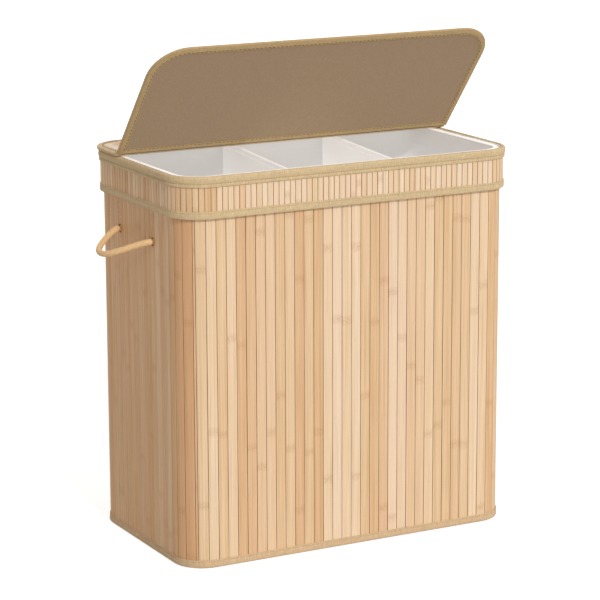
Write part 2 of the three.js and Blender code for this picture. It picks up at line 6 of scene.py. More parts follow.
import bmesh
import bpy
from mathutils import Matrix, Vector, noise
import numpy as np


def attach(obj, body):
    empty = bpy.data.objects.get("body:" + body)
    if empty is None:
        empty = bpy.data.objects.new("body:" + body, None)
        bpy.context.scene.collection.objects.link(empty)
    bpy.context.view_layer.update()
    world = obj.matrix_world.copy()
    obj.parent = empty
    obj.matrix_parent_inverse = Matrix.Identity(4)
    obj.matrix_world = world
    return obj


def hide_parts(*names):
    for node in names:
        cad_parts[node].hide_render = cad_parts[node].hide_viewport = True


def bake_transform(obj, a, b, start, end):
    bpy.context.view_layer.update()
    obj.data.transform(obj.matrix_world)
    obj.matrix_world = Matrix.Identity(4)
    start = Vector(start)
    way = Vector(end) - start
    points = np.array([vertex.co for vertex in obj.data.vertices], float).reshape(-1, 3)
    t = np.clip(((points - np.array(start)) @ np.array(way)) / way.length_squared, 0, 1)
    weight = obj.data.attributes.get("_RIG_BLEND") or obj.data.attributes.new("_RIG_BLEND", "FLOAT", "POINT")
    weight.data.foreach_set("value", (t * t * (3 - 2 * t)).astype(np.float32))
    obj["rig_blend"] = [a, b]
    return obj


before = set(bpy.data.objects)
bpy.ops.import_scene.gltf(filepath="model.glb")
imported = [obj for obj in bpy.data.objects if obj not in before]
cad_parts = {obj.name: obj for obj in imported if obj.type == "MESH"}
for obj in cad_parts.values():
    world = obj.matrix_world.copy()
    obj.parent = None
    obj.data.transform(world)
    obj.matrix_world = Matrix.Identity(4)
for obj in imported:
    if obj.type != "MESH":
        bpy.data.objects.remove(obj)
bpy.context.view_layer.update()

# Shapes are made in millimetres and brought to metres when a piece is finished
MM = 0.001
UP = Vector((0, 0, 1))

# The sleeve's outer face; every layer of the wall is an offset from it
SLEEVE_WIDTH, SLEEVE_DEPTH, CORNER_RADIUS = 594.0, 340.0, 50.0
CORE_X, CORE_Y = SLEEVE_WIDTH / 2 - CORNER_RADIUS, SLEEVE_DEPTH / 2 - CORNER_RADIUS

# Heights above the floor: sleeve and collar, then the liner's panels, divider hems and rim
MAT_FOOT, MAT_TOP, COLLAR_FOOT, SEAT_FOOT, COLLAR_TOP = 1.5, 619.4, 563.0, 620.8, 630.0
PANEL_FOOT, PANEL_TOP, HEM_TOP, RIM_TOP = 4.8, 588.3, 624.5, 628.5

# Bamboo mats: pitch, thickness, where the first joint lies, the narrow strip that closes the sleeve,
# the gap at a joint, and the height from one ring of the stem to the next
SLAT_PITCH, SLAT_THICKNESS, MAT_START, END_STRIP = 17.1, 2.0, -29.7, 4.0
FINE_PITCH, FINE_THICKNESS, FINE_START, COLLAR_FACE = 9.8, 1.25, 4.0, 5.2
WIDE_SEAM, CLOSE_SEAM, FINE_SEAM, RING_SPACING = 0.45, 0.2, 0.5, 380.0
SLAT_LAYERS = ("tone", "seed", "ring", "depth")

# Lid: the flap and the strip behind it, drawn closed and then turned up at the hinge
LID_HALF, LID_RADIUS, FLAP_FRONT, STRIP_BACK = 307.2, 60.2, -182.7, 180.2
LID_BOTTOM, LID_TOP, LID_INSET = 630.3, 636.7, 1.25
HINGE_Y, HINGE_Z, HINGE_GAP, LID_OPEN = 58.0, 636.9, 1.1, math.radians(-50.0)

# Dividers: where their middles stand, and how far their back ends are to the right of the front ends
DIVIDER_SHIFT, DIVIDER_SPACING, DIVIDER_SLANT, DIVIDER_HALF = 11.0, 190.0, 38.0, 157.7

# Rope handles
HANDLE_Z, HANDLE_Y, HOLE_SPACING, HOLE_RADIUS = 511.5, 6.5, 124.0, 7.0
ROPE_DIAMETER, ROPE_LAY, PIVOT_X = 10.0, 34.0, 302.3
ROPE_ROUTE = [
    (0, 62, 0), (5.5, 59.3, 1.3), (12, 55, 3.4), (18.5, 50.6, 5.9), (25, 46.2, 8.6),
    (31, 41.6, 11.3), (36.8, 36.8, 14), (42.3, 31.4, 16.6), (47.3, 25.6, 19.1), (51.6, 19, 21.3),
    (54.6, 11, 22.9), (55.9, 0, 23.6), (54.6, -11, 22.9), (51.6, -19, 21.3), (47.3, -25.6, 19.1),
    (42.3, -31.4, 16.6), (36.8, -36.8, 14), (31, -41.6, 11.3), (25, -46.2, 8.6),
    (18.5, -50.6, 5.9), (12, -55, 3.4), (5.5, -59.3, 1.3), (0, -62, 0),
]


def axes_at(place, x_way, y_way, z_way):
    matrix = Matrix((x_way, y_way, z_way)).transposed().to_4x4()
    matrix.translation = place
    return matrix


def place_object(name, data):
    made = bpy.data.objects.new(name, data)
    bpy.context.scene.collection.objects.link(made)
    return made


# Camera

def add_camera():
    data = bpy.data.cameras.new("camera")
    data.lens, data.sensor_width = 154.85, 36.0
    data.clip_start, data.clip_end = 0.1, 100.0
    camera = place_object("camera", data)
    right = Vector((0.88127358, -0.47259397, -0.003437))
    up = Vector((0.10821152, 0.19469842, 0.97487578))
    camera.matrix_world = axes_at(Vector((-1.9687, -3.6684, 1.3246)), right, up, right.cross(up))
    bpy.context.scene.camera = camera


add_camera()


# Materials

def linear(red, green, blue):
    """A colour written as it looks, 0 to 255, as the shader takes it."""
    parts = [part / 255 for part in (red, green, blue)]
    return [p / 12.92 if p <= 0.04045 else ((p + 0.055) / 1.055) ** 2.4 for p in parts] + [1.0]


class Value:
    """What a node puts out, used in sums, so that a pattern reads as a formula."""

    def __init__(self, socket):
        self.socket = socket
        self.tree = socket.id_data

    def maths(self, operation, *others):
        return add(self.tree, "Math", 0, enumerate((self, *others)), operation=operation)

    def __add__(self, other):
        return self.maths("ADD", other)

    def __sub__(self, other):
        return self.maths("SUBTRACT", other)

    def __mul__(self, other):
        return self.maths("MULTIPLY", other)

    def __truediv__(self, other):
        return self.maths("DIVIDE", other)

    def spread(self, low, high, to_low=0.0, to_high=1.0):
        """Eased from one value to another while this one goes from low to high."""
        return add(self.tree, "MapRange", "Result", {
            "Value": self, "From Min": low, "From Max": high, "To Min": to_low, "To Max": to_high},
            interpolation_type="SMOOTHSTEP")


def feed(socket, value):
    """Sets a socket to a number or a colour, or links it to what another node puts out."""
    if isinstance(value, Value):
        socket.id_data.links.new(value.socket, socket)
    else:
        socket.default_value = value


def add_node(tree, kind, inputs=(), **settings):
    node = tree.nodes.new(f"ShaderNode{kind}")
    for key, value in settings.items():
        setattr(node, key, value)
    for key, value in dict(inputs).items():
        feed(node.inputs[key], value)
    return node


def add(tree, kind, put_out, inputs=(), **settings):
    return Value(add_node(tree, kind, inputs, **settings).outputs[put_out])


def grainy(x, y, z, detail=2.0):
    vector = add(x.tree, "CombineXYZ", 0, {"X": x, "Y": y, "Z": z})
    return add(x.tree, "TexNoise", "Fac", {
        "Vector": vector, "Scale": 1.0, "Detail": detail, "Roughness": 0.55})


def speckled(tree, scale, detail=2.0):
    place = add(tree, "TexCoord", "Object")
    return add(tree, "TexNoise", "Fac", {"Vector": place, "Scale": scale, "Detail": detail})


def times_colour(colour, factor):
    return add(colour.tree, "VectorMath", 0, {0: colour, "Scale": factor}, operation="SCALE")


def mix_colour(factor, first, second):
    return add(factor.tree, "Mix", "Result", {"Factor": factor, "A": first, "B": second}, data_type="RGBA")


def own_lay(tree):
    """The piece's own map, in millimetres along it and across it."""
    return add(tree, "UVMap", "UV", uv_map="lay")


def two_ways(lay):
    parts = add_node(lay.tree, "SeparateXYZ", {0: lay}).outputs
    return Value(parts["X"]), Value(parts["Y"])


def start_group(name, inputs, outputs):
    tree = bpy.data.node_groups.new(name, "ShaderNodeTree")
    for way, sockets in (("INPUT", inputs), ("OUTPUT", outputs)):
        for socket, kind in sockets.items():
            tree.interface.new_socket(name=socket, in_out=way, socket_type=f"NodeSocket{kind}")
    given = tree.nodes.new("NodeGroupInput").outputs
    given = {socket: Value(given[socket]) for socket in inputs}
    return tree, given, tree.nodes.new("NodeGroupOutput").inputs


def weave_group():
    """Plain weave: threads over and under, each with its own shade, thick and thin along it."""
    tree, given, out = start_group("plain_weave", {"Lay": "Vector", "Pitch": "Float"},
                                   {"Height": "Float", "Shade": "Float"})
    u, v = (way / given["Pitch"] for way in two_ways(given["Lay"]))

    def thread(across, along, lift, place):
        index = across.maths("FLOOR")
        body = (across.maths("FRACT") * math.pi).maths("SINE")
        over = ((along + (index + lift)) * math.pi).maths("COSINE")
        return body * (over * 0.5 + 0.5), grainy(index * 5.37, along * 0.14, place, detail=1.0)

    warp, warp_shade = thread(u, v, -0.5, 3.0)
    weft, weft_shade = thread(v, u, 0.5, 47.0)
    on_top = weft.maths("GREATER_THAN", warp)
    feed(out["Height"], warp.maths("MAXIMUM", weft))
    feed(out["Shade"], add(tree, "Mix", "Result", {"Factor": on_top, "A": warp_shade, "B": weft_shade}))
    return tree


def bamboo_group():
    """Planed bamboo: long fibres, short pores, slow changes of tone, and a ring at each node."""
    numbers = {layer.capitalize(): "Float" for layer in SLAT_LAYERS}
    tree, given, out = start_group("planed_bamboo", {"Lay": "Vector", **numbers},
                                   {"Color": "Color", "Roughness": "Float", "Height": "Float"})
    u, v = two_ways(given["Lay"])

    def figure(across, along, step, detail):
        return grainy(u * across, v * along, given["Seed"] * 61.0 + step, detail)

    fibre = figure(2.4, 0.022, 0.0, 3.0)
    pore = figure(4.6, 0.16, 11.0, 1.0).spread(0.60, 0.74)
    broad = figure(0.15, 0.0050, 23.0, 2.0)
    streak = figure(0.8, 0.006, 37.0, 1.0).spread(0.53, 0.70)
    mottle = figure(0.9, 0.55, 51.0, 3.0)
    bands = figure(0.45, 0.0025, 83.0, 1.0)
    wander = (figure(0.4, 0.0, 71.0, 0.0) - 0.5) * 5.0
    from_ring = (v + wander - given["Ring"]).maths("WRAP", RING_SPACING / 2, -RING_SPACING / 2)
    near = from_ring.maths("ABSOLUTE")
    ring = near.spread(1.5, 0.2) * mottle.spread(0.36, 0.6)
    halo = near.spread(11.0, 1.5) * mottle.spread(0.38, 0.60)

    tone = given["Tone"] + ((broad - 0.5) * 0.5 + (bands - 0.5) * 0.75)
    ramp = add_node(tree, "ValToRGB", {0: tone})
    stops = ramp.color_ramp.elements
    tones = [(0.0, (210, 163, 116)), (0.25, (221, 182, 138)), (0.45, (228, 194, 153)),
             (0.62, (232, 201, 162)), (0.8, (236, 208, 173)), (1.0, (241, 217, 188))]
    while len(stops) < len(tones):
        stops.new(0.5)
    for stop, (place, colour) in zip(stops, tones):
        stop.position, stop.color = place, linear(*colour)
    pink = ((given["Seed"] * 7.31).maths("FRACT") + broad).spread(0.85, 1.35) * 0.22
    colour = mix_colour(pink, Value(ramp.outputs["Color"]), linear(231, 190, 158))
    stain = (ring * 0.42).maths("MAXIMUM", halo * 0.34)
    colour = mix_colour(stain, colour, linear(184, 130, 82))
    shade = fibre * 0.26 + 0.87
    for mask, depth in ((pore, 0.09), (streak, 0.12)):
        shade = shade * (mask * -depth + 1.0)
    # The sawn sides are browner than the planed face
    feed(out["Color"], mix_colour(given["Depth"], times_colour(colour, shade), linear(170, 86, 28)))
    feed(out["Roughness"], fibre * 0.22 + 0.40)
    feed(out["Height"], fibre * 0.5 + (ring * 0.35 - pore * 0.3))
    return tree


WEAVE, BAMBOO = weave_group(), bamboo_group()


def start_material(name, **constants):
    """A material, its tree and its shader, with sockets set by name, _ standing for a space."""
    material = bpy.data.materials.new(name)
    material.use_nodes = True
    shader = material.node_tree.nodes["Principled BSDF"]
    for key, value in constants.items():
        feed(shader.inputs[key.replace("_", " ")], value)
    return material, material.node_tree, shader


def bump(shader, height, depth, strength=1.0):
    """Height in the way that the pattern gives it, depth in metres for the whole of it."""
    feed(shader.inputs["Normal"], add(shader.id_data, "Bump", "Normal", {
        "Height": height, "Distance": depth, "Strength": strength}))


def woven(tree, pitch):
    """A plain weave on the piece's own map: the map's two ways, and the weave's height and shade."""
    lay = own_lay(tree)
    weave = add_node(tree, "Group", {"Lay": lay, "Pitch": pitch}, node_tree=WEAVE).outputs
    return (*two_ways(lay), Value(weave["Height"]), Value(weave["Shade"]))


def bamboo_material(name, depth):
    material, tree, shader = start_material(name, Specular_IOR_Level=0.2)
    figure = add_node(tree, "Group", node_tree=BAMBOO)
    feed(figure.inputs["Lay"], own_lay(tree))
    for layer in SLAT_LAYERS:
        feed(figure.inputs[layer.capitalize()], add(tree, "Attribute", "Fac", attribute_name=layer))
    feed(shader.inputs["Base Color"], Value(figure.outputs["Color"]))
    feed(shader.inputs["Roughness"], Value(figure.outputs["Roughness"]))
    bump(shader, Value(figure.outputs["Height"]), depth)
    return material


def cloth_material(name, colour, dark, pitch, depth, contrast=0.5, soil=0.12, sheen=0.0, slub=0.12):
    """Woven cloth: colour on the crowns of its threads, and the dark colour between them as painted shade.
    """
    material, tree, shader = start_material(name, Roughness=0.9, Specular_IOR_Level=0.15,
                                            Sheen_Weight=sheen, Sheen_Roughness=0.6)
    u, v, height, thread_shade = woven(tree, pitch)
    cloud = grainy(u * 0.05, v * 0.05, 5.0)
    fleck = grainy(u * 0.55, v * 0.10, 8.0).spread(0.35, 0.65)
    # Darker in the hollows of the weave: painted shade
    crown = height.spread(0.15, 0.75) * contrast + (1.0 - contrast)
    worn = (fleck * slub + (1.0 - slub / 2)) * (cloud * (2 * soil) + (1.0 - soil))
    shade = (thread_shade * 0.5 + 0.75) * worn
    feed(shader.inputs["Base Color"], times_colour(mix_colour(crown, linear(*dark), linear(*colour)), shade))
    bump(shader, height, depth)
    return material


def liner_material(name, low, high, painted_glow):
    """White liner: a fine tight cloth with shallow creases that run mostly up and down. It glows a
    little: painted light that brightens the inside of the hamper, where the lamps reach little."""
    material, tree, shader = start_material(
        name, Roughness=0.78, Specular_IOR_Level=0.2, Emission_Color=linear(250, 246, 242),
        Emission_Strength=painted_glow)
    u, v, height, _ = woven(tree, 0.7)
    crease = grainy(u * 0.016, v * 0.007, 9.0, detail=3.0)
    # Greyer in the hollows of the weave: painted shade
    mixed = mix_colour(height.spread(0.1, 0.8), linear(*low), linear(*high))
    feed(shader.inputs["Base Color"], times_colour(mixed, crease * 0.04 + 0.98))
    bump(shader, height * 0.02 + crease, 0.002, 0.5)
    return material


def board_material(name, light, dark):
    """Pressed board, flecked with short fibres."""
    material, tree, shader = start_material(name, Roughness=0.85)
    fleck, cloud = speckled(tree, 900.0), speckled(tree, 35.0)
    base = mix_colour(fleck.spread(0.38, 0.62), linear(*dark), linear(*light))
    feed(shader.inputs["Base Color"], times_colour(base, cloud * 0.3 + 0.85))
    bump(shader, fleck, 0.00008)
    return material


def rope_material():
    """Soft laid rope: fine fibres that follow the strands, with painted shade in the lay between them."""
    material, tree, shader = start_material("rope", Roughness=0.85, Specular_IOR_Level=0.2,
                                            Sheen_Weight=0.15)
    u, v = two_ways(own_lay(tree))
    fibre = grainy(u * 0.55 + v * 2.2, u * 0.06, 2.0, 3.0)
    fuzz = grainy(u, v, 7.0)
    groove = add(tree, "Attribute", "Fac", attribute_name="groove").spread(0.3, 1.0, 0.0, 0.3)
    strand = mix_colour(fibre, linear(228, 186, 132), linear(243, 209, 160))
    # Painted shade in the grooves between the strands
    colour = mix_colour(groove, strand, linear(214, 166, 114))
    feed(shader.inputs["Base Color"], times_colour(colour, fuzz * 0.16 + 0.92))
    bump(shader, fibre, 0.0004)
    return material


def thread_material(name, light, dark):
    material, tree, shader = start_material(name, Roughness=0.8)
    twist = speckled(tree, 1400.0, 1.0)
    feed(shader.inputs["Base Color"], mix_colour(twist, linear(*dark), linear(*light)))
    bump(shader, twist, 0.0001)
    return material


BAMBOO_WIDE = bamboo_material("bamboo_wide", 0.00012)
BAMBOO_FINE = bamboo_material("bamboo_fine", 0.00008)
STOUT = (1.5, 0.0004, 0.40, 0.05, 0.1, 0.13)
TAPE = cloth_material("woven_tape", (225, 200, 158), (156, 131, 90), *STOUT)
BOTTOM_TAPE = cloth_material("bottom_tape", (226, 196, 157), (158, 129, 90), *STOUT)
LID_TAPE = cloth_material("lid_tape", (197, 168, 120), (152, 124, 82), 1.5, 0.0004, 0.35, 0.05, 0.1, 0.12)
BACKING = cloth_material("backing_cloth", (206, 128, 64), (164, 96, 44), 0.9, 0.0002)
LID_CLOTH = cloth_material("lid_cloth", (169, 144, 114), (149, 126, 98), 0.75, 0.00012, 0.7, 0.02, 0.1, 0.05)
HINGE = cloth_material("hinge_tape", (186, 148, 98), (136, 104, 64), 1.7, 0.0004, 0.6)
GRIP = cloth_material("grip_tape", (226, 222, 214), (190, 184, 174), 1.6, 0.0005)
# The liner, divider and hem cloths glow: painted light inside the hamper
LINER = liner_material("liner_cloth", (213, 213, 213), (223, 223, 223), 0.175)
DIVIDER = liner_material("divider_cloth", (232, 232, 232), (242, 242, 242), 0.28)
# Whiter and glowing more than the liner: a painted highlight for the top folds of the hems and the rim
HEM = liner_material("liner_hem_highlight", (244, 243, 242), (252, 251, 250), 0.40)
ROPE = rope_material()
BOARD = board_material("fibreboard", (172, 114, 64), (138, 86, 44))
FACED_BOARD = board_material("faced_board", (246, 242, 234), (232, 226, 216))
THREAD = thread_material("tape_thread", (206, 176, 128), (160, 128, 84))
DARK_THREAD = thread_material("lid_thread", (96, 68, 38), (62, 43, 22))
LINER_THREAD = thread_material("liner_thread", (252, 251, 250), (244, 242, 240))


# Laying out round the wall

def side_lengths(offset=0.0):
    """Lengths of the four flats and the four corners in turn, from the front's left end."""
    arc = (CORNER_RADIUS + offset) * math.pi / 2
    return [2 * CORE_X, arc, 2 * CORE_Y, arc] * 2


def side_at(distance, lengths):
    """Which flat or corner a distance falls on, and how far along it."""
    left, side = distance % sum(lengths), 0
    while left > lengths[side] and side < 7:
        left -= lengths[side]
        side += 1
    return side, left


def wall_place(distance, offset=0.0):
    """Point of the sleeve's face and the way out of it, anticlockwise from the front's left end."""
    lengths = side_lengths(offset)
    side, left = side_at(distance, lengths)
    half, depth = (CORE_X, CORE_Y) if side // 2 % 2 == 0 else (CORE_Y, CORE_X)
    turn = 0.0 if side % 2 == 0 else left / lengths[side] * math.pi / 2
    along = left - half if side % 2 == 0 else half + CORNER_RADIUS * math.sin(turn)
    turned = Matrix.Rotation((side // 2) * math.pi / 2, 3, "Z")
    point = turned @ Vector((along, -(depth + CORNER_RADIUS * math.cos(turn)), 0))
    return point, turned @ Vector((math.sin(turn), -math.cos(turn), 0))


def station(point, out):
    """Where a section stands: its own x goes out, its own z goes up."""
    return axes_at(point, out, UP.cross(out).normalized(), UP)


def ring_places(corner_steps=9, flat_step=60.0):
    """Distances round the wall from the middle of the back, closer together at the corners."""
    lengths = side_lengths()
    spans = [lengths[4] / 2, *lengths[5:], *lengths[:4], lengths[4] / 2]
    at, places = sum(lengths[:4]) + lengths[4] / 2, []
    for index, span in enumerate(spans):
        steps = corner_steps if index % 2 else max(1, round(span / flat_step))
        places += [at + span * step / steps for step in range(steps)]
        at += span
    return places + [at]


def wall_stations(places):
    return [station(*wall_place(place)) for place in places]


def lay_mat(offset, pitch, start, end_strip):
    """Joints of a slat mat, and for each end of each flat the joint nearest to it."""
    lengths = side_lengths(offset)
    total = sum(lengths)
    count = round((total - end_strip) / pitch)
    step = (total - end_strip) / count
    joints = [start + i * step for i in range(count + (1 if end_strip else 0))]
    ends = [sum(lengths[:side]) for side in range(8)]
    near = [min(range(len(joints)), key=lambda i, end=end: min(
        abs(joints[i] - end), abs(joints[i] - end - total))) for end in ends]
    return joints, near, total


def joints_between(mat, first, last):
    joints, near, total = mat
    start, end = near[first], near[last]
    if start < end:
        return joints[start:end + 1]
    return joints[start:] + [joint + total for joint in joints[:end + 1]]


# Making pieces

def to_mesh(bm, name):
    mesh = bpy.data.meshes.new(name)
    bm.to_mesh(mesh)
    bm.free()
    return mesh


def finish(bm, name, material, body, nodes=(), angle=38.0, ride=True):
    """Brings a finished shape to metres and makes it a piece of that body."""
    bmesh.ops.scale(bm, vec=(MM, MM, MM), verts=bm.verts)
    mesh = to_mesh(bm, name)
    mesh.materials.append(material)
    mesh.shade_smooth()
    mesh.set_sharp_from_angle(angle=math.radians(angle))
    piece = place_object(name, mesh)
    if ride:
        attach(piece, body)
    if nodes:
        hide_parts(*nodes)
    return piece


def round_off(bm, parts, radius, segments, affect, clamp_overlap=False):
    bmesh.ops.bevel(bm, geom=parts, offset=radius, offset_type="OFFSET", segments=segments,
                    profile=0.5, affect=affect, material=-1, clamp_overlap=clamp_overlap)


def raised(level, outline):
    """An outline of (out, up, rounding) points, set up at its level."""
    return [(out, level + up, rounding) for out, up, rounding in outline]


def box_outline(inner, outer, bottom, top, rounding=0.0):
    return [(inner, bottom, rounding), (outer, bottom, rounding),
            (outer, top, rounding), (inner, top, rounding)]


def start_section(bm, outline, place):
    """A section with rounded corners, from (out, up, rounding) points, standing at a station."""
    across = bm.verts.layers.float.new("across")
    corners = [bm.verts.new((out, 0, up)) for out, up, _ in outline]
    bm.faces.new(corners)
    for radius in sorted({point[2] for point in outline if point[2]}):
        rounded = [corner for corner, point in zip(corners, outline) if point[2] == radius]
        round_off(bm, rounded, radius, 3, "VERTICES", clamp_overlap=True)
    face = bm.faces[:][0]
    girth, before = 0.0, None
    for loop in face.loops:
        girth += (loop.vert.co - before).length if before else 0.0
        loop.vert[across] = girth
        before = loop.vert.co.copy()
    girth += (before - face.loops[0].vert.co).length
    edges = list(face.edges)
    bmesh.ops.delete(bm, geom=[face], context="FACES_ONLY")
    bmesh.ops.transform(bm, matrix=place, verts=bm.verts)
    return edges, girth


def carry(bm, edges, matrix):
    """Draws the open edges out to their next place."""
    made = bmesh.ops.extrude_edge_only(bm, edges=edges)["geom"]
    corners = [part for part in made if isinstance(part, bmesh.types.BMVert)]
    bmesh.ops.transform(bm, matrix=matrix, verts=corners)
    moved = set(corners)
    edges = [part for part in made
             if isinstance(part, bmesh.types.BMEdge) and set(part.verts) <= moved]
    return edges, corners


def close_ends(bm, *ends):
    for edges in ends:
        bmesh.ops.edgenet_fill(bm, edges=edges)


def sweep(outline, stations, places, closed=True):
    """Carries a rounded section through stations. The lay map runs along it and across it."""
    bm = bmesh.new()
    along = bm.verts.layers.float.new("along")
    edges, girth = start_section(bm, outline, stations[0])
    first = list({corner for edge in edges for corner in edge.verts})
    first_edges, corners = list(edges), first
    for before, after, place in zip(stations, stations[1:], places[1:]):
        edges, corners = carry(bm, edges, after @ before.inverted())
        for corner in corners:
            corner[along] = place - places[0]
    if closed:
        bmesh.ops.remove_doubles(bm, verts=first + corners, dist=1e-3)
    else:
        close_ends(bm, first_edges, edges)
    bmesh.ops.recalc_face_normals(bm, faces=bm.faces)
    map_lay(bm, places[-1] - places[0] if closed else 0.0, girth)
    return bm


def map_lay(bm, length, girth):
    """The lay map from the along and across of each corner, closed neatly where they start over."""
    lay = bm.loops.layers.uv.new("lay")
    layers = (bm.verts.layers.float["along"], bm.verts.layers.float["across"])
    for face in bm.faces:
        values = []
        for layer, total in zip(layers, (length, girth)):
            own = [loop.vert[layer] for loop in face.loops]
            wraps = total and max(own) - min(own) > total / 2
            values.append([value + total if wraps and value < total / 2 else value for value in own])
        for loop, run, turn in zip(face.loops, *values):
            loop[lay].uv = (run, turn)


def map_flat(bm, first=0, second=1):
    """The lay map of flat cloth, from two of its axes, carried on over its thin edges."""
    lay = bm.loops.layers.uv.new("lay")
    for face in bm.faces:
        for loop in face.loops:
            co = loop.vert.co
            loop[lay].uv = (co[first] + (co[second] if abs(face.normal[first]) > 0.7 else 0.0),
                            co[second] + (co.z if second < 2 and abs(face.normal.z) < 0.7 else 0.0))


def rounded_plate(half_x, near_y, far_y, near_radius, far_radius, bottom, top, rounding=0.0):
    """A flat plate: its two corners at near_y and its two at far_y each have their own radius."""
    bm = bmesh.new()
    corners = bmesh.ops.create_grid(bm, x_segments=1, y_segments=1, size=1)["verts"]
    bmesh.ops.scale(bm, vec=(half_x, abs(far_y - near_y) / 2, 1), verts=corners)
    bmesh.ops.translate(bm, vec=(0, (far_y + near_y) / 2, bottom), verts=corners)
    for radius, edge_y in ((near_radius, near_y), (far_radius, far_y)):
        if radius:
            chosen = [v for v in bm.verts if abs(v.co.y - edge_y) < 0.01 and abs(v.co.x) > half_x - 0.01]
            round_off(bm, chosen, radius, 10, "VERTICES")
    grown = bmesh.ops.extrude_face_region(bm, geom=bm.faces[:])["geom"]
    upper = [part for part in grown if isinstance(part, bmesh.types.BMVert)]
    bmesh.ops.translate(bm, vec=(0, 0, top - bottom), verts=upper)
    bmesh.ops.recalc_face_normals(bm, faces=bm.faces)
    if rounding:
        rims = [edge for edge in bm.edges if abs(edge.verts[0].co.z - edge.verts[1].co.z) < 0.01]
        round_off(bm, rims, rounding, 2, "EDGES")
    map_flat(bm)
    return bm


def sleeve_plate(reach, bottom, top, rounding):
    """A plate that follows the sleeve's outline, as far outside it as reach says."""
    depth, radius = SLEEVE_DEPTH / 2 + reach, CORNER_RADIUS + reach
    return rounded_plate(SLEEVE_WIDTH / 2 + reach, -depth, depth, radius, radius, bottom, top, rounding)


def soften(bm, amount, reach, hold, seed):
    """Lets cloth that follows the wall hang a little loose, inwards, where hold allows."""
    for corner in bm.verts:
        core = Vector((max(-CORE_X, min(CORE_X, corner.co.x)),
                       max(-CORE_Y, min(CORE_Y, corner.co.y)), corner.co.z))
        inward = (core - corner.co).normalized()
        at = Vector((corner.co.x / reach, corner.co.y / reach, corner.co.z / (2.2 * reach) + seed))
        corner.co += inward * amount * hold(corner.co) * (0.5 + 0.5 * noise.noise(at) * 1.6)


def stitch_row(name, points, pitch, length, width, body, material, slot_name, turn=None):
    """Stitches laid end to end along points, each (place, way out of the cloth)."""
    blank = bmesh.new()
    bmesh.ops.create_uvsphere(blank, u_segments=6, v_segments=5, radius=0.5)
    bmesh.ops.rotate(blank, matrix=Matrix.Rotation(math.pi / 2, 3, "Y"), verts=blank.verts)
    bmesh.ops.scale(blank, vec=(length, width, width * 0.8), verts=blank.verts)
    shape = to_mesh(blank, "stitch")
    bm, chance = bmesh.new(), random.Random(name)
    left = pitch / 2
    for (start, out), (end, _) in zip(points, points[1:]):
        span = (end - start).length
        if span < 1e-6:
            continue
        way = (end - start) / span
        while left < span:
            side = out.cross(way).normalized()
            place = start + way * left + side * chance.uniform(-0.08, 0.08)
            lean = Matrix.Rotation(chance.uniform(-0.05, 0.09), 4, "Z")
            before = len(bm.verts)
            bm.from_mesh(shape)
            bm.verts.ensure_lookup_table()
            matrix = axes_at(place, way, side, way.cross(side)) @ lean
            bmesh.ops.transform(bm, matrix=matrix, verts=bm.verts[before:])
            left += pitch
        left -= span
    bpy.data.meshes.remove(shape)
    if turn:
        bmesh.ops.transform(bm, matrix=turn, verts=bm.verts)
    return finish(bm, name, material, body, angle=60)


# Rope handles

def smooth_route(points, cuts=5):
    """The route with points added on one smooth curve through all of it."""
    ends = [2 * points[0] - points[1], *points, 2 * points[-1] - points[-2]]
    route = []
    for a, b, c, d in zip(ends, ends[1:], ends[2:], ends[3:]):
        for cut in range(cuts):
            t = cut / cuts
            route.append(0.5 * (2 * b + (c - a) * t + (2 * a - 5 * b + 4 * c - d) * t ** 2
                                + (3 * b - a - 3 * c + d) * t ** 3))
    return [*route, points[-1]]


def laid_rope(route, radius, lay_length, sides=24, domed=True):
    """Three twisted strands along a route, with domed ends."""
    bm = bmesh.new()
    along, across, groove = (bm.verts.layers.float.new(name) for name in ("along", "across", "groove"))
    ring = bmesh.ops.create_circle(bm, cap_ends=False, radius=radius, segments=sides)["verts"]
    for corner in ring:
        turn = math.atan2(corner.co.y, corner.co.x)
        valley = 0.5 - 0.5 * math.cos(3 * turn)
        corner[across] = (turn % (2 * math.pi)) * radius
        corner[groove] = valley ** 4
        corner.co *= 1 + 0.05 * (0.35 - valley ** 2)
    ways = [(b - a).normalized() for a, b in zip(route, route[1:])]
    ways = [ways[0], *[(a + b).normalized() for a, b in zip(ways, ways[1:])], ways[-1]]
    steps, run = [], 0.0
    for index, (place, way) in enumerate(zip(route, ways)):
        run += (place - route[index - 1]).length if index else 0.0
        steps.append((place, way, 1.0, run))
    if domed:
        dome = [(radius * share, math.sqrt(1 - share ** 2)) for share in (0.32, 0.62, 0.86, 0.98)]
        start = [(route[0] - ways[0] * out, ways[0], size, -out) for out, size in reversed(dome)]
        end = [(route[-1] + ways[-1] * out, ways[-1], size, run + out) for out, size in dome]
        steps = start + steps + end
    edges, side = bm.edges[:], UP.cross(ways[0]).normalized()
    for index, (place, way, size, distance) in enumerate(steps):
        side = (side - way * side.dot(way)).normalized()
        matrix = (axes_at(place, side, way.cross(side), way)
                  @ Matrix.Rotation(2 * math.pi * distance / lay_length, 4, "Z")
                  @ Matrix.Diagonal((size, size, 1, 1)))
        if index == 0:
            bmesh.ops.transform(bm, matrix=matrix, verts=bm.verts)
            first, corners = list(edges), bm.verts[:]
        else:
            edges, corners = carry(bm, edges, matrix @ before.inverted())
        for corner in corners:
            corner[along] = distance
        before = matrix
    close_ends(bm, first, edges)
    bmesh.ops.recalc_face_normals(bm, faces=bm.faces)
    map_lay(bm, 0.0, 2 * math.pi * radius)
    return bm


def add_handle(side, name):
    route = smooth_route([Vector((side * (PIVOT_X + out), HANDLE_Y + along, HANDLE_Z - sunk))
                          for out, along, sunk in ROPE_ROUTE])
    bm = laid_rope(route, ROPE_DIAMETER / 2, side * ROPE_LAY)
    piece = finish(bm, f"handle_{name}_rope", ROPE, f"handle_{name}",
                   [f"handle_rope_{name}"], angle=80)
    path = [point * MM for point in route]
    length = sum((b - a).length for a, b in zip(path, path[1:]))


add_handle(-1, "left")
add_handle(1, "right")


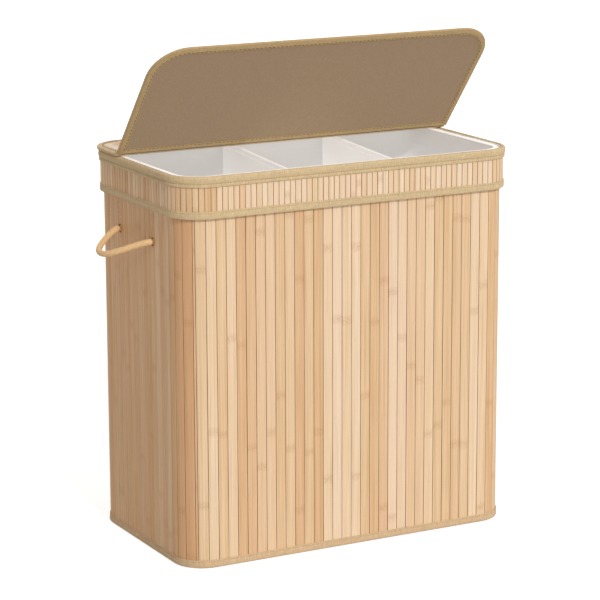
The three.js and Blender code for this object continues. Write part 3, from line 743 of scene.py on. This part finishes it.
def add_knot(side, name, end, place):
    """The knot behind the wall that stops the rope, and the stub that fills the hole."""
    turns = []
    for index in range(40):
        t = 2 * math.pi * index / 40
        reach, depth = 4.7 + 2.1 * math.cos(3 * t), -7.0 + 1.3 * math.sin(3 * t)
        turns.append(Vector((side * (SLEEVE_WIDTH / 2 + depth), place + reach * math.cos(2 * t),
                             HANDLE_Z + reach * math.sin(2 * t))))
    bm = laid_rope([*turns, turns[0].copy()], 2.6, 9.0, sides=10, domed=False)
    stub_route = [Vector((side * (SLEEVE_WIDTH / 2 + depth), place, HANDLE_Z))
                  for depth in (-0.1, -1.5, -3.0, -4.6)]
    stub = to_mesh(laid_rope(stub_route, ROPE_DIAMETER / 2 - 0.1, ROPE_LAY, sides=18, domed=False), "stub")
    bm.from_mesh(stub)
    bpy.data.meshes.remove(stub)
    finish(bm, f"knot_{name}_{end}", ROPE, "sleeve", [f"rope_knot_{name}_{end}"], angle=80)


for hand, hand_name in ((-1, "left"), (1, "right")):
    add_knot(hand, hand_name, "front", HANDLE_Y - HOLE_SPACING / 2)
    add_knot(hand, hand_name, "rear", HANDLE_Y + HOLE_SPACING / 2)


# Bamboo mats

SLEEVE_MAT = lay_mat(0.0, SLAT_PITCH, MAT_START, END_STRIP)
COLLAR_MAT = lay_mat(COLLAR_FACE, FINE_PITCH, FINE_START, 0.0)

# How far each mat's face stands out, its slats' foot and top, and its bamboo
MATS = {"sleeve": (0.0, MAT_FOOT, MAT_TOP, BAMBOO_WIDE),
        "collar": (COLLAR_FACE, COLLAR_FOOT + 1.3, COLLAR_TOP - 1.7, BAMBOO_FINE)}


def slat_blank(width, thickness, height, rounding, cuts=0):
    """One slat: across its own x, its outer face at y = 0, its long outer edges rounded."""
    bm = bmesh.new()
    bmesh.ops.create_cube(bm, size=1)
    bmesh.ops.scale(bm, vec=(width, thickness, height), verts=bm.verts)
    bmesh.ops.translate(bm, vec=(0, thickness / 2, height / 2), verts=bm.verts)
    inner = [v for v in bm.verts if v.co.y > thickness / 2]
    bmesh.ops.scale(bm, vec=(1 - 1.1 * thickness / width, 1, 1), verts=inner)
    outer = [e for e in bm.edges if all(v.co.y < thickness / 2 for v in e.verts)
             and abs(e.verts[0].co.z - e.verts[1].co.z) > height / 2]
    round_off(bm, outer, rounding, 2, "EDGES")
    for cut in range(1, cuts + 1):
        bmesh.ops.bisect_plane(bm, geom=bm.verts[:] + bm.edges[:] + bm.faces[:],
                               plane_co=(0, 0, height * cut / (cuts + 1)), plane_no=(0, 0, 1))
    return to_mesh(bm, "slat_blank")


def start_mat():
    bm = bmesh.new()
    for layer in SLAT_LAYERS:
        bm.verts.layers.float.new(layer)
    bm.loops.layers.uv.new("lay")
    return bm


def lay_slat(bm, blank, matrix, width_share, chance, wander=0.0, tone=0.58, tone_spread=0.20):
    """Puts one slat in its place, with its own tone, its own grain and the height of its ring."""
    before, faces_before = len(bm.verts), len(bm.faces)
    bm.from_mesh(blank)
    bm.verts.ensure_lookup_table()
    bm.faces.ensure_lookup_table()
    corners, lay = bm.verts[before:], bm.loops.layers.uv["lay"]
    seed = chance.random()
    shade = min(1.0, max(0.0, chance.gauss(tone, tone_spread)))
    ring = chance.uniform(0, RING_SPACING)
    for face in bm.faces[faces_before:]:
        for loop in face.loops:
            co = loop.vert.co
            loop[lay].uv = (co.x + co.y, co.z)
    lean, settle = chance.uniform(-0.012, 0.012), chance.uniform(0.0, 0.14)
    for corner in corners:
        depth = min(1.0, max(0.0, (corner.co.y - 0.05) / 0.9))
        for layer, value in zip(SLAT_LAYERS, (shade, seed, ring, depth)):
            corner[bm.verts.layers.float[layer]] = value
        edge = 1 if corner.co.x > 0 else -1
        drift = noise.noise(Vector((seed * 90, edge * 3.0, corner.co.z / 130.0))) * wander
        corner.co.x = corner.co.x * width_share + drift
        corner.co.y += settle + lean * corner.co.x + 0.05
    bmesh.ops.transform(bm, matrix=matrix, verts=corners)


def slat_panel(node, body, joints, blank, width, seam, name=None, **looks):
    """The slats of one side or corner of a mat, each on the chord between its two joints."""
    face, bottom, _, material = MATS[body]
    bm, chance = start_mat(), random.Random(node)
    for start, end in zip(joints, joints[1:]):
        ends = []
        for distance in (start + seam / 2, end - seam / 2):
            point, out = wall_place(distance, face)
            ends.append(point + out * face)
        chord = ends[1] - ends[0]
        along = chord.normalized()
        matrix = axes_at((ends[0] + ends[1]) / 2 + UP * bottom, along, UP.cross(along), UP)
        lay_slat(bm, blank, matrix, chord.length / width, chance, **looks)
    name = name or node.replace("slats", "bamboo")
    return finish(bm, name, material, body, [node], angle=50)


def cut_rope_holes(piece, side):
    """Bores the two rope holes of one end through a piece."""
    bm = bmesh.new()
    for place in (-HOLE_SPACING / 2, HOLE_SPACING / 2):
        matrix = (Matrix.Translation((side * (SLEEVE_WIDTH / 2 - 4), HANDLE_Y + place, HANDLE_Z))
                  @ Matrix.Rotation(math.pi / 2, 4, "Y"))
        bmesh.ops.create_cone(bm, cap_ends=True, cap_tris=False, segments=28, radius1=HOLE_RADIUS,
                              radius2=HOLE_RADIUS, depth=16, matrix=matrix)
    bmesh.ops.scale(bm, vec=(MM, MM, MM), verts=bm.verts)
    mesh = to_mesh(bm, "drill")
    drill = place_object("drill", mesh)
    bore = piece.modifiers.new("bore", "BOOLEAN")
    bore.operation, bore.solver, bore.object = "DIFFERENCE", "EXACT", drill
    bpy.context.view_layer.update()
    bored = bpy.data.meshes.new_from_object(piece.evaluated_get(bpy.context.evaluated_depsgraph_get()))
    piece.modifiers.remove(bore)
    bored.name = piece.data.name
    piece.data = bored
    bpy.data.objects.remove(drill)
    bpy.data.meshes.remove(mesh)


def add_sleeve_mat():
    joints, near, total = SLEEVE_MAT
    pitch, height = joints[1] - joints[0], MAT_TOP - MAT_FOOT
    # Front and back show their joints; the slats of the ends lie closer
    blanks = {seam: slat_blank(pitch - seam, SLAT_THICKNESS, height, rounding, cuts=4)
              for seam, rounding in ((WIDE_SEAM, 0.5), (CLOSE_SEAM, 0.22))}
    parts = ("front", "front_right_corner", "right", "back_right_corner", "back", "back_left_corner", "left")
    panels = {f"{part}_slats": joints_between(SLEEVE_MAT, index, index + 1)
              for index, part in enumerate(parts)}
    panels["front_left_corner_side_slats"] = joints[near[7]:]
    panels["front_left_corner_slats"] = joints[:near[0] + 1]
    for node, between in panels.items():
        # The ends and the left corners get a darker tone: painted shade for the sides turned from the light
        dark = node == "right_slats" or ("left" in node and node != "front_left_corner_slats")
        bored = node in ("left_slats", "right_slats")
        seam = CLOSE_SEAM if bored else WIDE_SEAM
        piece = slat_panel(node, "sleeve", between, blanks[seam], pitch - seam, seam,
                           wander=0.22 * seam / WIDE_SEAM, tone=0.14 if dark else 0.58,
                           tone_spread=0.10 if dark else 0.165)
        if bored:
            cut_rope_holes(piece, -1 if node == "left_slats" else 1)
    width = END_STRIP - WIDE_SEAM
    narrow = slat_blank(width, SLAT_THICKNESS, height, 0.5, cuts=4)
    slat_panel("mat_end_strip", "sleeve", [joints[-1], joints[0] + total], narrow, width, WIDE_SEAM,
               "end_strip_bamboo", tone=0.3, tone_spread=0.0)
    for mesh in (*blanks.values(), narrow):
        bpy.data.meshes.remove(mesh)


def add_collar_mat():
    _, bottom, top, _ = MATS["collar"]
    width = COLLAR_MAT[0][1] - COLLAR_MAT[0][0] - FINE_SEAM
    blank = slat_blank(width, FINE_THICKNESS, top - bottom, 0.45)
    parts = ("front", "front_right", "right", "back_right", "back", "back_left", "left", "front_left")
    # The left and right collar slats get a darker tone: painted shade for the sides turned from the light
    for index, part in enumerate(parts):
        slat_panel(f"collar_{part}_slats", "collar", joints_between(COLLAR_MAT, index, (index + 1) % 8),
                   blank, width, FINE_SEAM, tone=0.42 if "left" in part or part == "right" else 0.85,
                   tone_spread=0.17)
    bpy.data.meshes.remove(blank)


add_sleeve_mat()
add_collar_mat()


# Cloth and tape of the sleeve

RING = ring_places()
RING_STATIONS = wall_stations(RING)


def ring_row(out, up, step=12.0):
    """Points of a row of stitches round the wall."""
    total = sum(side_lengths())
    count = round(total / step)
    rows = []
    for index in range(count + 1):
        point, outward = wall_place(RING[0] + total * index / count)
        rows.append((point + outward * out + UP * up, outward))
    return rows


def ring_piece(name, outline, material, body, node):
    """A piece that goes all the way round the wall with one outline."""
    return finish(sweep(outline, RING_STATIONS, RING), name, material, body, [node])


def add_sleeve_cloth():
    backing = box_outline(-2.95, -2.45, MAT_FOOT + 0.1, MAT_TOP - 0.2)
    piece = ring_piece("sleeve_backing", backing, BACKING, "sleeve", "sleeve_backing_cloth")
    for side in (-1, 1):
        cut_rope_holes(piece, side)
    low_tape = [
        (0.15, 13.0, 0.3), (0.95, 13.0, 0.4), (1.15, 11.2, 0.6), (0.75, 9.7, 0.5), (1.25, 8.2, 0.8),
        (1.55, 4.5, 1.5), (1.2, 1.2, 1.1), (-0.2, 0.0, 0.8), (-3.1, 0.0, 1.0), (-4.4, 0.9, 0.9),
        (-4.4, 13.0, 0.3), (-3.2, 13.0, 0.3), (-3.2, 1.2, 0.3), (0.15, 1.2, 0.3),
    ]
    ring_piece("bottom_tape", low_tape, BOTTOM_TAPE, "sleeve", "bottom_binding")
    stitch_row("bottom_tape_stitches", ring_row(0.95, 9.7), 5.0, 3.4, 0.55, "sleeve", THREAD, "woven_tape")
    hem = raised(MAT_TOP, [
        (0.2, -9.0, 0.1), (0.7, -9.0, 0.2), (0.75, -0.1, 0.4), (0.1, 0.8, 0.3), (-3.2, 0.8, 0.4),
        (-3.75, -0.1, 0.3), (-3.75, -9.0, 0.1), (-3.2, -9.0, 0.1), (-3.2, 0.2, 0.1), (0.2, 0.2, 0.1),
    ])
    ring_piece("sleeve_top_tape", hem, TAPE, "sleeve", "sleeve_top_binding")
    finish(sleeve_plate(-4.6, 0.0, 1.2, 0.35), "base_underside_cloth", LID_CLOTH, "sleeve",
           ["base_cloth"])


add_sleeve_cloth()


# Liner

def between_places(mat, first, last, flat_step=24.0, corner_step=6.5):
    """Places from one parting of the liner to another, close enough for cloth to hang."""
    ends = joints_between(mat, first, last)
    start, end = ends[0] + 0.1, ends[-1] - 0.1
    lengths, places, at = side_lengths(), [start], start
    while at < end - 1.0:
        side, left = side_at(at, lengths)
        step = corner_step if side % 2 else flat_step
        at = min(end, at + min(step, lengths[side] - left + 0.01))
        places.append(at)
    return places


def divider_place(side, y):
    return DIVIDER_SHIFT + side * DIVIDER_SPACING / 2 + DIVIDER_SLANT * y / (2 * DIVIDER_HALF)


def paint_highlight_above(piece, height):
    """Gives the faces above a height the whiter, more glowing hem material: a painted highlight on the top
    fold of a hem or rim.
    """
    piece.data.materials.append(HEM)
    for polygon in piece.data.polygons:
        polygon.material_index = int(polygon.center.z > height * MM)


def add_liner_panels():
    inner, outer, rows = -12.0, -11.0, 26
    tall = PANEL_TOP - PANEL_FOOT
    heights = [PANEL_FOOT + tall * row / rows for row in range(rows + 1)]
    outline = [(outer, height, 0.0) for height in heights]
    outline += [(inner, height, 0.0) for height in reversed(heights)]

    def loose(co):
        ends = min(1.0, (co.z - PANEL_FOOT) / 60, (PANEL_TOP - co.z) / 50)
        seam = min(1.0, *(abs(co.x - divider_place(side, co.y)) / 55 for side in (-1, 1)))
        return max(0.0, ends) * seam

    panels = {"front": (0, 1), "right": (1, 4), "back": (4, 5), "left": (5, 0)}
    for index, (part, span) in enumerate(panels.items()):
        places = between_places(SLEEVE_MAT, *span)
        bm = sweep(outline, wall_stations(places), places, closed=False)
        soften(bm, 3.2, 70.0, loose, index * 7.3)
        piece = finish(bm, f"liner_{part}_cloth", LINER, "sleeve", [f"liner_{part}_panel"],
                       angle=60)
        (places[-1] - places[0]) * MM


def add_liner_rim():
    rim = raised(RIM_TOP, [
        (-4.15, -40.15, 0.0), (-4.15, -2.2, 1.4), (-5.4, -0.2, 1.0), (-8.0, 0.0, 1.5),
        (-10.7, -0.2, 1.0), (-12.0, -2.1, 1.4), (-12.0, -29.5, 0.5), (-11.85, -30.9, 0.3),
        (-12.0, -32.3, 0.5), (-12.0, -40.15, 0.0),
    ])
    piece = ring_piece("liner_rim_cloth", rim, LINER, "sleeve", "liner_rim")
    # A painted highlight on the rim's top fold
    paint_highlight_above(piece, RIM_TOP - 1.7)
    seam = [(place, -out) for place, out in ring_row(-11.9, RIM_TOP - 30.9)]
    stitch_row("liner_rim_stitches", seam, 3.6, 2.6, 0.45, "sleeve", LINER_THREAD, "liner_cloth")


def add_liner_floor():
    reach = -12.2
    piece = finish(sleeve_plate(reach, 4.75, 5.6, 0.2), "liner_floor_cloth", LINER, "sleeve",
                   ["liner_floor"])


def add_divider(side, name):
    """A cloth divider with a folded hem, held at the front and back and a little slack between."""
    half, bottom, top = DIVIDER_HALF, 6.0, HEM_TOP - 10.1
    bm = bmesh.new()
    sheet = bmesh.ops.create_grid(bm, x_segments=14, y_segments=26, size=1)["verts"]
    for axis in "XZ":
        bmesh.ops.rotate(bm, matrix=Matrix.Rotation(math.pi / 2, 3, axis), verts=sheet)
    bmesh.ops.scale(bm, vec=(1, half, (top - bottom) / 2), verts=sheet)
    bmesh.ops.translate(bm, vec=(-0.35, 0, (top + bottom) / 2), verts=sheet)
    for corner in bm.verts:
        slack = max(0.0, min(1.0, (half - abs(corner.co.y)) / 70, (corner.co.z - bottom) / 90,
                             (top - corner.co.z) / 60))
        at = Vector((corner.co.y / 90, corner.co.z / 190, side * 4.7))
        corner.co.x += divider_place(side, corner.co.y) + 4.5 * slack * noise.noise(at)
    bmesh.ops.solidify(bm, geom=bm.faces[:], thickness=0.7)
    bmesh.ops.recalc_face_normals(bm, faces=bm.faces)
    map_flat(bm, 1, 2)
    piece = finish(bm, f"divider_{name}_cloth", DIVIDER, "sleeve", [f"divider_{name}"],
                   angle=60)
    near_half = [(-1.45, -9.8, 0.5), (-1.0, -8.8, 0.4), (-1.45, -7.7, 0.5), (-1.5, -1.6, 1.2)]
    far_half = [(-out, up, rounding) for out, up, rounding in reversed(near_half)]
    outline = raised(HEM_TOP, [*near_half, (0, 0, 0.7), *far_half])
    places = [-half + 2 * half * step / 8 for step in range(9)]
    stations = [station(Vector((divider_place(side, place), place, 0)), Vector((1, 0, 0)))
                for place in places]
    hem = finish(sweep(outline, stations, places, closed=False), f"divider_hem_{name}_cloth", DIVIDER,
                 "sleeve", [f"divider_hem_{name}"])
    # A painted highlight on the hem's top fold
    paint_highlight_above(hem, HEM_TOP - 2.0)


def add_grip_strips():
    places = [-187.0, 0.0, 187.0]
    outline = box_outline(-3.9, -3.25, 594.2, 610.0, 0.2)
    for side, name in ((-1, "front"), (1, "back")):
        stations = [station(Vector((place, side * SLEEVE_DEPTH / 2, 0)), Vector((0, side, 0)))
                    for place in places]
        finish(sweep(outline, stations, places, closed=False), f"grip_tape_{name}", GRIP, "sleeve",
               [f"liner_grip_strip_{name}"])


add_liner_panels()
add_liner_rim()
add_liner_floor()
add_divider(-1, "left")
add_divider(1, "right")
add_grip_strips()


# Collar

def add_collar_cloth():
    _, bottom, top, _ = MATS["collar"]
    ring_piece("collar_inner_cloth", box_outline(1.35, 1.65, bottom, top), LID_CLOTH, "collar",
               "collar_lining")
    low = raised(COLLAR_FOOT, [
        (5.45, 12.4, 0.2), (6.1, 12.4, 0.3), (6.35, 10.6, 0.5), (6.05, 9.4, 0.3), (6.4, 8.0, 0.6),
        (6.6, 4.0, 1.5), (6.35, 1.0, 0.9), (5.6, 0.0, 0.5), (1.4, 0.0, 0.2), (1.4, 0.95, 0.1),
        (5.45, 0.95, 0.1),
    ])
    ring_piece("collar_low_tape", low, TAPE, "collar", "collar_bottom_binding")
    stitch_row("collar_low_stitches", ring_row(6.3, COLLAR_FOOT + 9.4), 5.0, 3.4, 0.55, "collar", THREAD,
               "woven_tape")
    # The seat rests on the sleeve's top edge; its pale lip fills the slot beside the liner
    seat = raised(SEAT_FOOT, [
        (-3.65, 0.0, 0.2), (1.0, 0.0, 0.2), (1.0, 2.0, 0.2), (-0.45, 2.05, 0.1),
        (-0.45, 7.9, 0.7), (-1.9, 8.5, 1.0), (-3.65, 7.8, 0.9),
    ])
    ring_piece("collar_seat_lip", seat, FACED_BOARD, "collar", "collar_seat")
    high = raised(COLLAR_TOP, [
        (5.45, -17.4, 0.2), (6.5, -17.4, 0.5), (7.05, -16.2, 0.6), (7.15, -13.4, 0.8), (6.35, -12.0, 0.35),
        (7.35, -10.6, 0.8), (8.0, -8.0, 1.8), (8.1, -4.4, 1.8), (7.4, -1.4, 1.3), (5.2, 0.0, 1.2),
        (1.2, 0.05, 0.8), (-0.3, -1.0, 0.7), (-0.3, -7.0, 0.2), (1.0, -7.0, 0.1), (1.0, -1.3, 0.1),
        (5.45, -1.3, 0.1),
    ])
    ring_piece("collar_top_tape", high, TAPE, "collar", "collar_top_binding")
    stitch_row("collar_top_stitches", ring_row(6.75, COLLAR_TOP - 12.0), 5.0, 3.4, 0.6, "collar", THREAD,
               "woven_tape")


add_collar_cloth()


# Lid and the strip behind it

def panel_stations(near_y, far_y, steps=9):
    """Round a panel that is square at the hinge and rounded at its far edge."""
    way = 1 if far_y > near_y else -1
    stations = [station(Vector((-LID_HALF, near_y, 0)), Vector((-1, -way, 0)))]
    for side in (-1, 1):
        centre = Vector((side * (LID_HALF - LID_RADIUS), far_y - way * LID_RADIUS, 0))
        for step in range(steps + 1):
            turn = (step if side < 0 else steps - step) / steps * math.pi / 2
            out = Vector((side * math.cos(turn), way * math.sin(turn), 0))
            stations.append(station(centre + out * LID_RADIUS, out))
    stations.append(station(Vector((LID_HALF, near_y, 0)), Vector((1, -way, 0))))
    return [*stations, stations[0]]


def station_distances(stations):
    places = [0.0]
    for before, after in zip(stations, stations[1:]):
        places.append(places[-1] + (after.translation - before.translation).length)
    return places


def panel_slats(near_y, far_y):
    """Slats that run from front to back, trimmed to the panel's outline."""
    count = round(2 * LID_HALF / SLAT_PITCH)
    pitch = 2 * LID_HALF / count
    blank = slat_blank(pitch - FINE_SEAM, 1.3, abs(far_y - near_y), 0.5)
    bm, chance = start_mat(), random.Random(f"panel {far_y}")
    for index in range(count):
        place = (-LID_HALF + pitch * (index + 0.5), min(near_y, far_y), LID_TOP - 0.95)
        matrix = Matrix.Translation(place) @ Matrix.Rotation(-math.pi / 2, 4, "X")
        lay_slat(bm, blank, matrix, 1.0, chance)
    bpy.data.meshes.remove(blank)
    trims = [(place.translation, place.col[0].to_3d().normalized())
             for place in panel_stations(near_y, far_y, 8)[1:-2]]
    trims.append((Vector((0, near_y, 0)), Vector((0, -1 if far_y > near_y else 1, 0))))
    for point, out in trims:
        geometry = bm.verts[:] + bm.edges[:] + bm.faces[:]
        bmesh.ops.bisect_plane(bm, geom=geometry, plane_co=point - out * LID_INSET, plane_no=out,
                               clear_outer=True)
        rims = [edge for edge in bm.edges if edge.is_boundary]
        if rims:
            bmesh.ops.holes_fill(bm, edges=rims, sides=0)
    return bm


def add_panel(prefix, body, near_y, far_y, edge, turn=None):
    """The lid or the strip behind it: lining, slats, the tape round them and its stitches."""
    def turned(bm):
        if turn:
            bmesh.ops.transform(bm, matrix=turn, verts=bm.verts)
        return bm

    inset = LID_INSET if far_y > near_y else -LID_INSET
    lining = rounded_plate(LID_HALF - LID_INSET, near_y + inset, far_y - inset, 0.0,
                           LID_RADIUS - LID_INSET, LID_BOTTOM + 0.9, LID_BOTTOM + 1.35)
    finish(turned(lining), f"{prefix}_inner_cloth", LID_CLOTH, body, [f"{prefix}_lining"])
    finish(turned(panel_slats(near_y, far_y)), f"{prefix}_bamboo", BAMBOO_WIDE, body,
           [f"{prefix}_slats"], angle=50)
    lower = raised(LID_BOTTOM, [
        (-11.5, 0.8, 0.15), (-11.5, 0.2, 0.3), (-10.9, 0.0, 0.3), (-10.2, 0.05, 0.3),
        (-9.6, 0.55, 0.25), (-9.0, 0.2, 0.3), (-7.6, 0.0, 1.0),
    ])
    fold = [(-2.4, 2 * edge - LID_TOP, 1.2), (-0.5, 2 * edge - LID_TOP + 1.0, 1.1), (0.0, edge, 1.6)]
    upper = raised(LID_TOP, [
        (-0.5, -1.0, 1.1), (-2.4, 0.0, 1.2), (-7.6, 0.0, 1.0), (-9.0, -0.2, 0.3), (-9.6, -0.5, 0.25),
        (-10.2, -0.1, 0.3), (-10.9, 0.0, 0.3), (-11.5, -0.2, 0.3), (-11.5, -0.7, 0.1), (-1.1, -0.7, 0.1),
        (-1.1, -3.5, 0.1), (-7.0, -5.6, 0.1),
    ])
    stations = panel_stations(near_y, far_y)
    tape = sweep([*lower, *fold, *upper], stations, station_distances(stations))
    # The strip's binding takes the lighter collar tape, not the flap's: painted light on its edge, which the
    # flap shades
    finish(turned(tape), f"{prefix}_edge_tape", LID_TAPE if prefix == "lid" else TAPE, body,
           [f"{prefix}_binding"])
    dark = (body, DARK_THREAD, "woven_tape", turn)
    if prefix == "lid":
        # An unbroken row of dark stitches along the flap's hinge edge: a painted shadow line in the gap at
        # the hinge
        seam = [(Vector((side * (LID_HALF - 8), near_y - 0.7, LID_BOTTOM + 0.5)), -UP) for side in (-1, 1)]
        stitch_row("lid_hinge_seam", seam, 3.4, 3.6, 1.0, *dark)
    for face, up, normal in (("inner", LID_BOTTOM + 0.44, -UP), ("outer", LID_TOP - 0.3, UP)):
        points = [(place @ Vector((-9.6, 0, up)), normal) for place in panel_stations(near_y, far_y, 14)]
        stitch_row(f"{prefix}_{face}_stitches", points, 7.4, 5.2, 1.4, *dark)


def add_hinge_cloth():
    """The cloth that joins the strip and the flap, folded up with the flap."""
    middle, reach = Vector((0, HINGE_Y, HINGE_Z)), Vector((0, HINGE_GAP, 0))
    bm = bmesh.new()
    band = bmesh.ops.create_grid(bm, x_segments=24, y_segments=20, size=1)["verts"]
    bmesh.ops.scale(bm, vec=(LID_HALF - 12.0, 4.2, 1), verts=band)
    bmesh.ops.translate(bm, vec=(0, HINGE_Y, LID_TOP + 0.1), verts=band)
    map_flat(bm)
    bmesh.ops.solidify(bm, geom=bm.faces[:], thickness=-0.35)
    bmesh.ops.recalc_face_normals(bm, faces=bm.faces)
    for corner in bm.verts:
        share = max(0.0, min(1.0, (HINGE_Y + HINGE_GAP - corner.co.y) / (2 * HINGE_GAP)))
        share = share * share * (3 - 2 * share)
        axis = Vector((corner.co.x, HINGE_Y, HINGE_Z))
        corner.co = axis + Matrix.Rotation(LID_OPEN * share, 3, "X") @ (corner.co - axis)
    piece = finish(bm, "hinge_cloth", HINGE, "collar", ["hinge_tape"], ride=False)
    lid_reach = Matrix.Rotation(LID_OPEN, 3, "X") @ -reach
    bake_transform(piece, "collar", "lid", (middle + reach) * MM, (middle + lid_reach) * MM)


LID_TURN = (Matrix.Translation((0, HINGE_Y, HINGE_Z)) @ Matrix.Rotation(LID_OPEN, 4, "X")
            @ Matrix.Translation((0, -HINGE_Y, -HINGE_Z)))
LID_MIDDLE = (LID_BOTTOM + LID_TOP) / 2

add_panel("rear_strip", "collar", HINGE_Y + HINGE_GAP, STRIP_BACK, LID_MIDDLE)
add_panel("lid", "lid", HINGE_Y - HINGE_GAP, FLAP_FRONT, LID_MIDDLE + 0.3, LID_TURN)
add_hinge_cloth()

for node_name in ("base_board", "collar_board", "rear_strip_board", "lid_board"):
    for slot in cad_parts[node_name].material_slots:
        slot.material = BOARD


# Floor, light and background

def seen_by_camera(tree):
    """1 for what the camera sees, straight or in gloss or glass, and 0 for light on the object."""
    path = add_node(tree, "LightPath").outputs
    camera, gloss, glass = (Value(path[f"Is {kind} Ray"]) for kind in ("Camera", "Glossy", "Transmission"))
    return camera.maths("MAXIMUM", gloss.maths("MAXIMUM", glass))


def add_floor():
    bm = bmesh.new()
    bmesh.ops.create_circle(bm, cap_ends=True, cap_tris=False, radius=40, segments=64)
    mesh = to_mesh(bm, "floor")
    floor = place_object("floor", mesh)
    floor.location.z = -0.0005
    material, tree, shader = start_material(
        "floor", Roughness=0.9, Base_Color=(0.62, 0.62, 0.62, 1.0), Specular_IOR_Level=0.0,
        Emission_Color=(1.0, 1.0, 1.0, 1.0))
    feed(shader.inputs["Emission Strength"], seen_by_camera(tree) * 0.66)
    mesh.materials.append(material)


def add_world():
    world = bpy.data.worlds.new("studio")
    bpy.context.scene.world = world
    world.use_nodes = True
    ground = world.node_tree.nodes["Background"].inputs
    seen = seen_by_camera(world.node_tree)
    feed(ground["Strength"], seen * 0.675 + 0.325)
    feed(ground["Color"], mix_colour(seen, (1.0, 0.90, 0.80, 1.0), (1.0, 1.0, 1.0, 1.0)))


def add_sun(name, towards, strength, angle, colour=(1.0, 1.0, 1.0)):
    data = bpy.data.lights.new(name, "SUN")
    data.energy, data.angle, data.color = strength, math.radians(angle), colour
    sun = place_object(name, data)
    sun.rotation_mode = "QUATERNION"
    sun.rotation_quaternion = Vector(towards).to_track_quat("Z", "Y")


add_floor()
add_world()
add_sun("low_key", (0.0, -0.985, 0.15), 0.45, 10)
add_sun("high_key", (-0.05, -0.81, 0.56), 1.50, 5)
add_sun("left", (-0.97, 0.05, 0.24), 0.11, 20, (1.0, 0.95, 0.90))
add_sun("right", (0.80, -0.30, 0.50), 0.45, 30)
add_sun("back", (0.15, 0.93, 0.33), 0.9, 30)
add_sun("top", (0.1, 0.1, 1.0), 0.45, 60)

bpy.context.scene.view_settings.view_transform = "Standard"
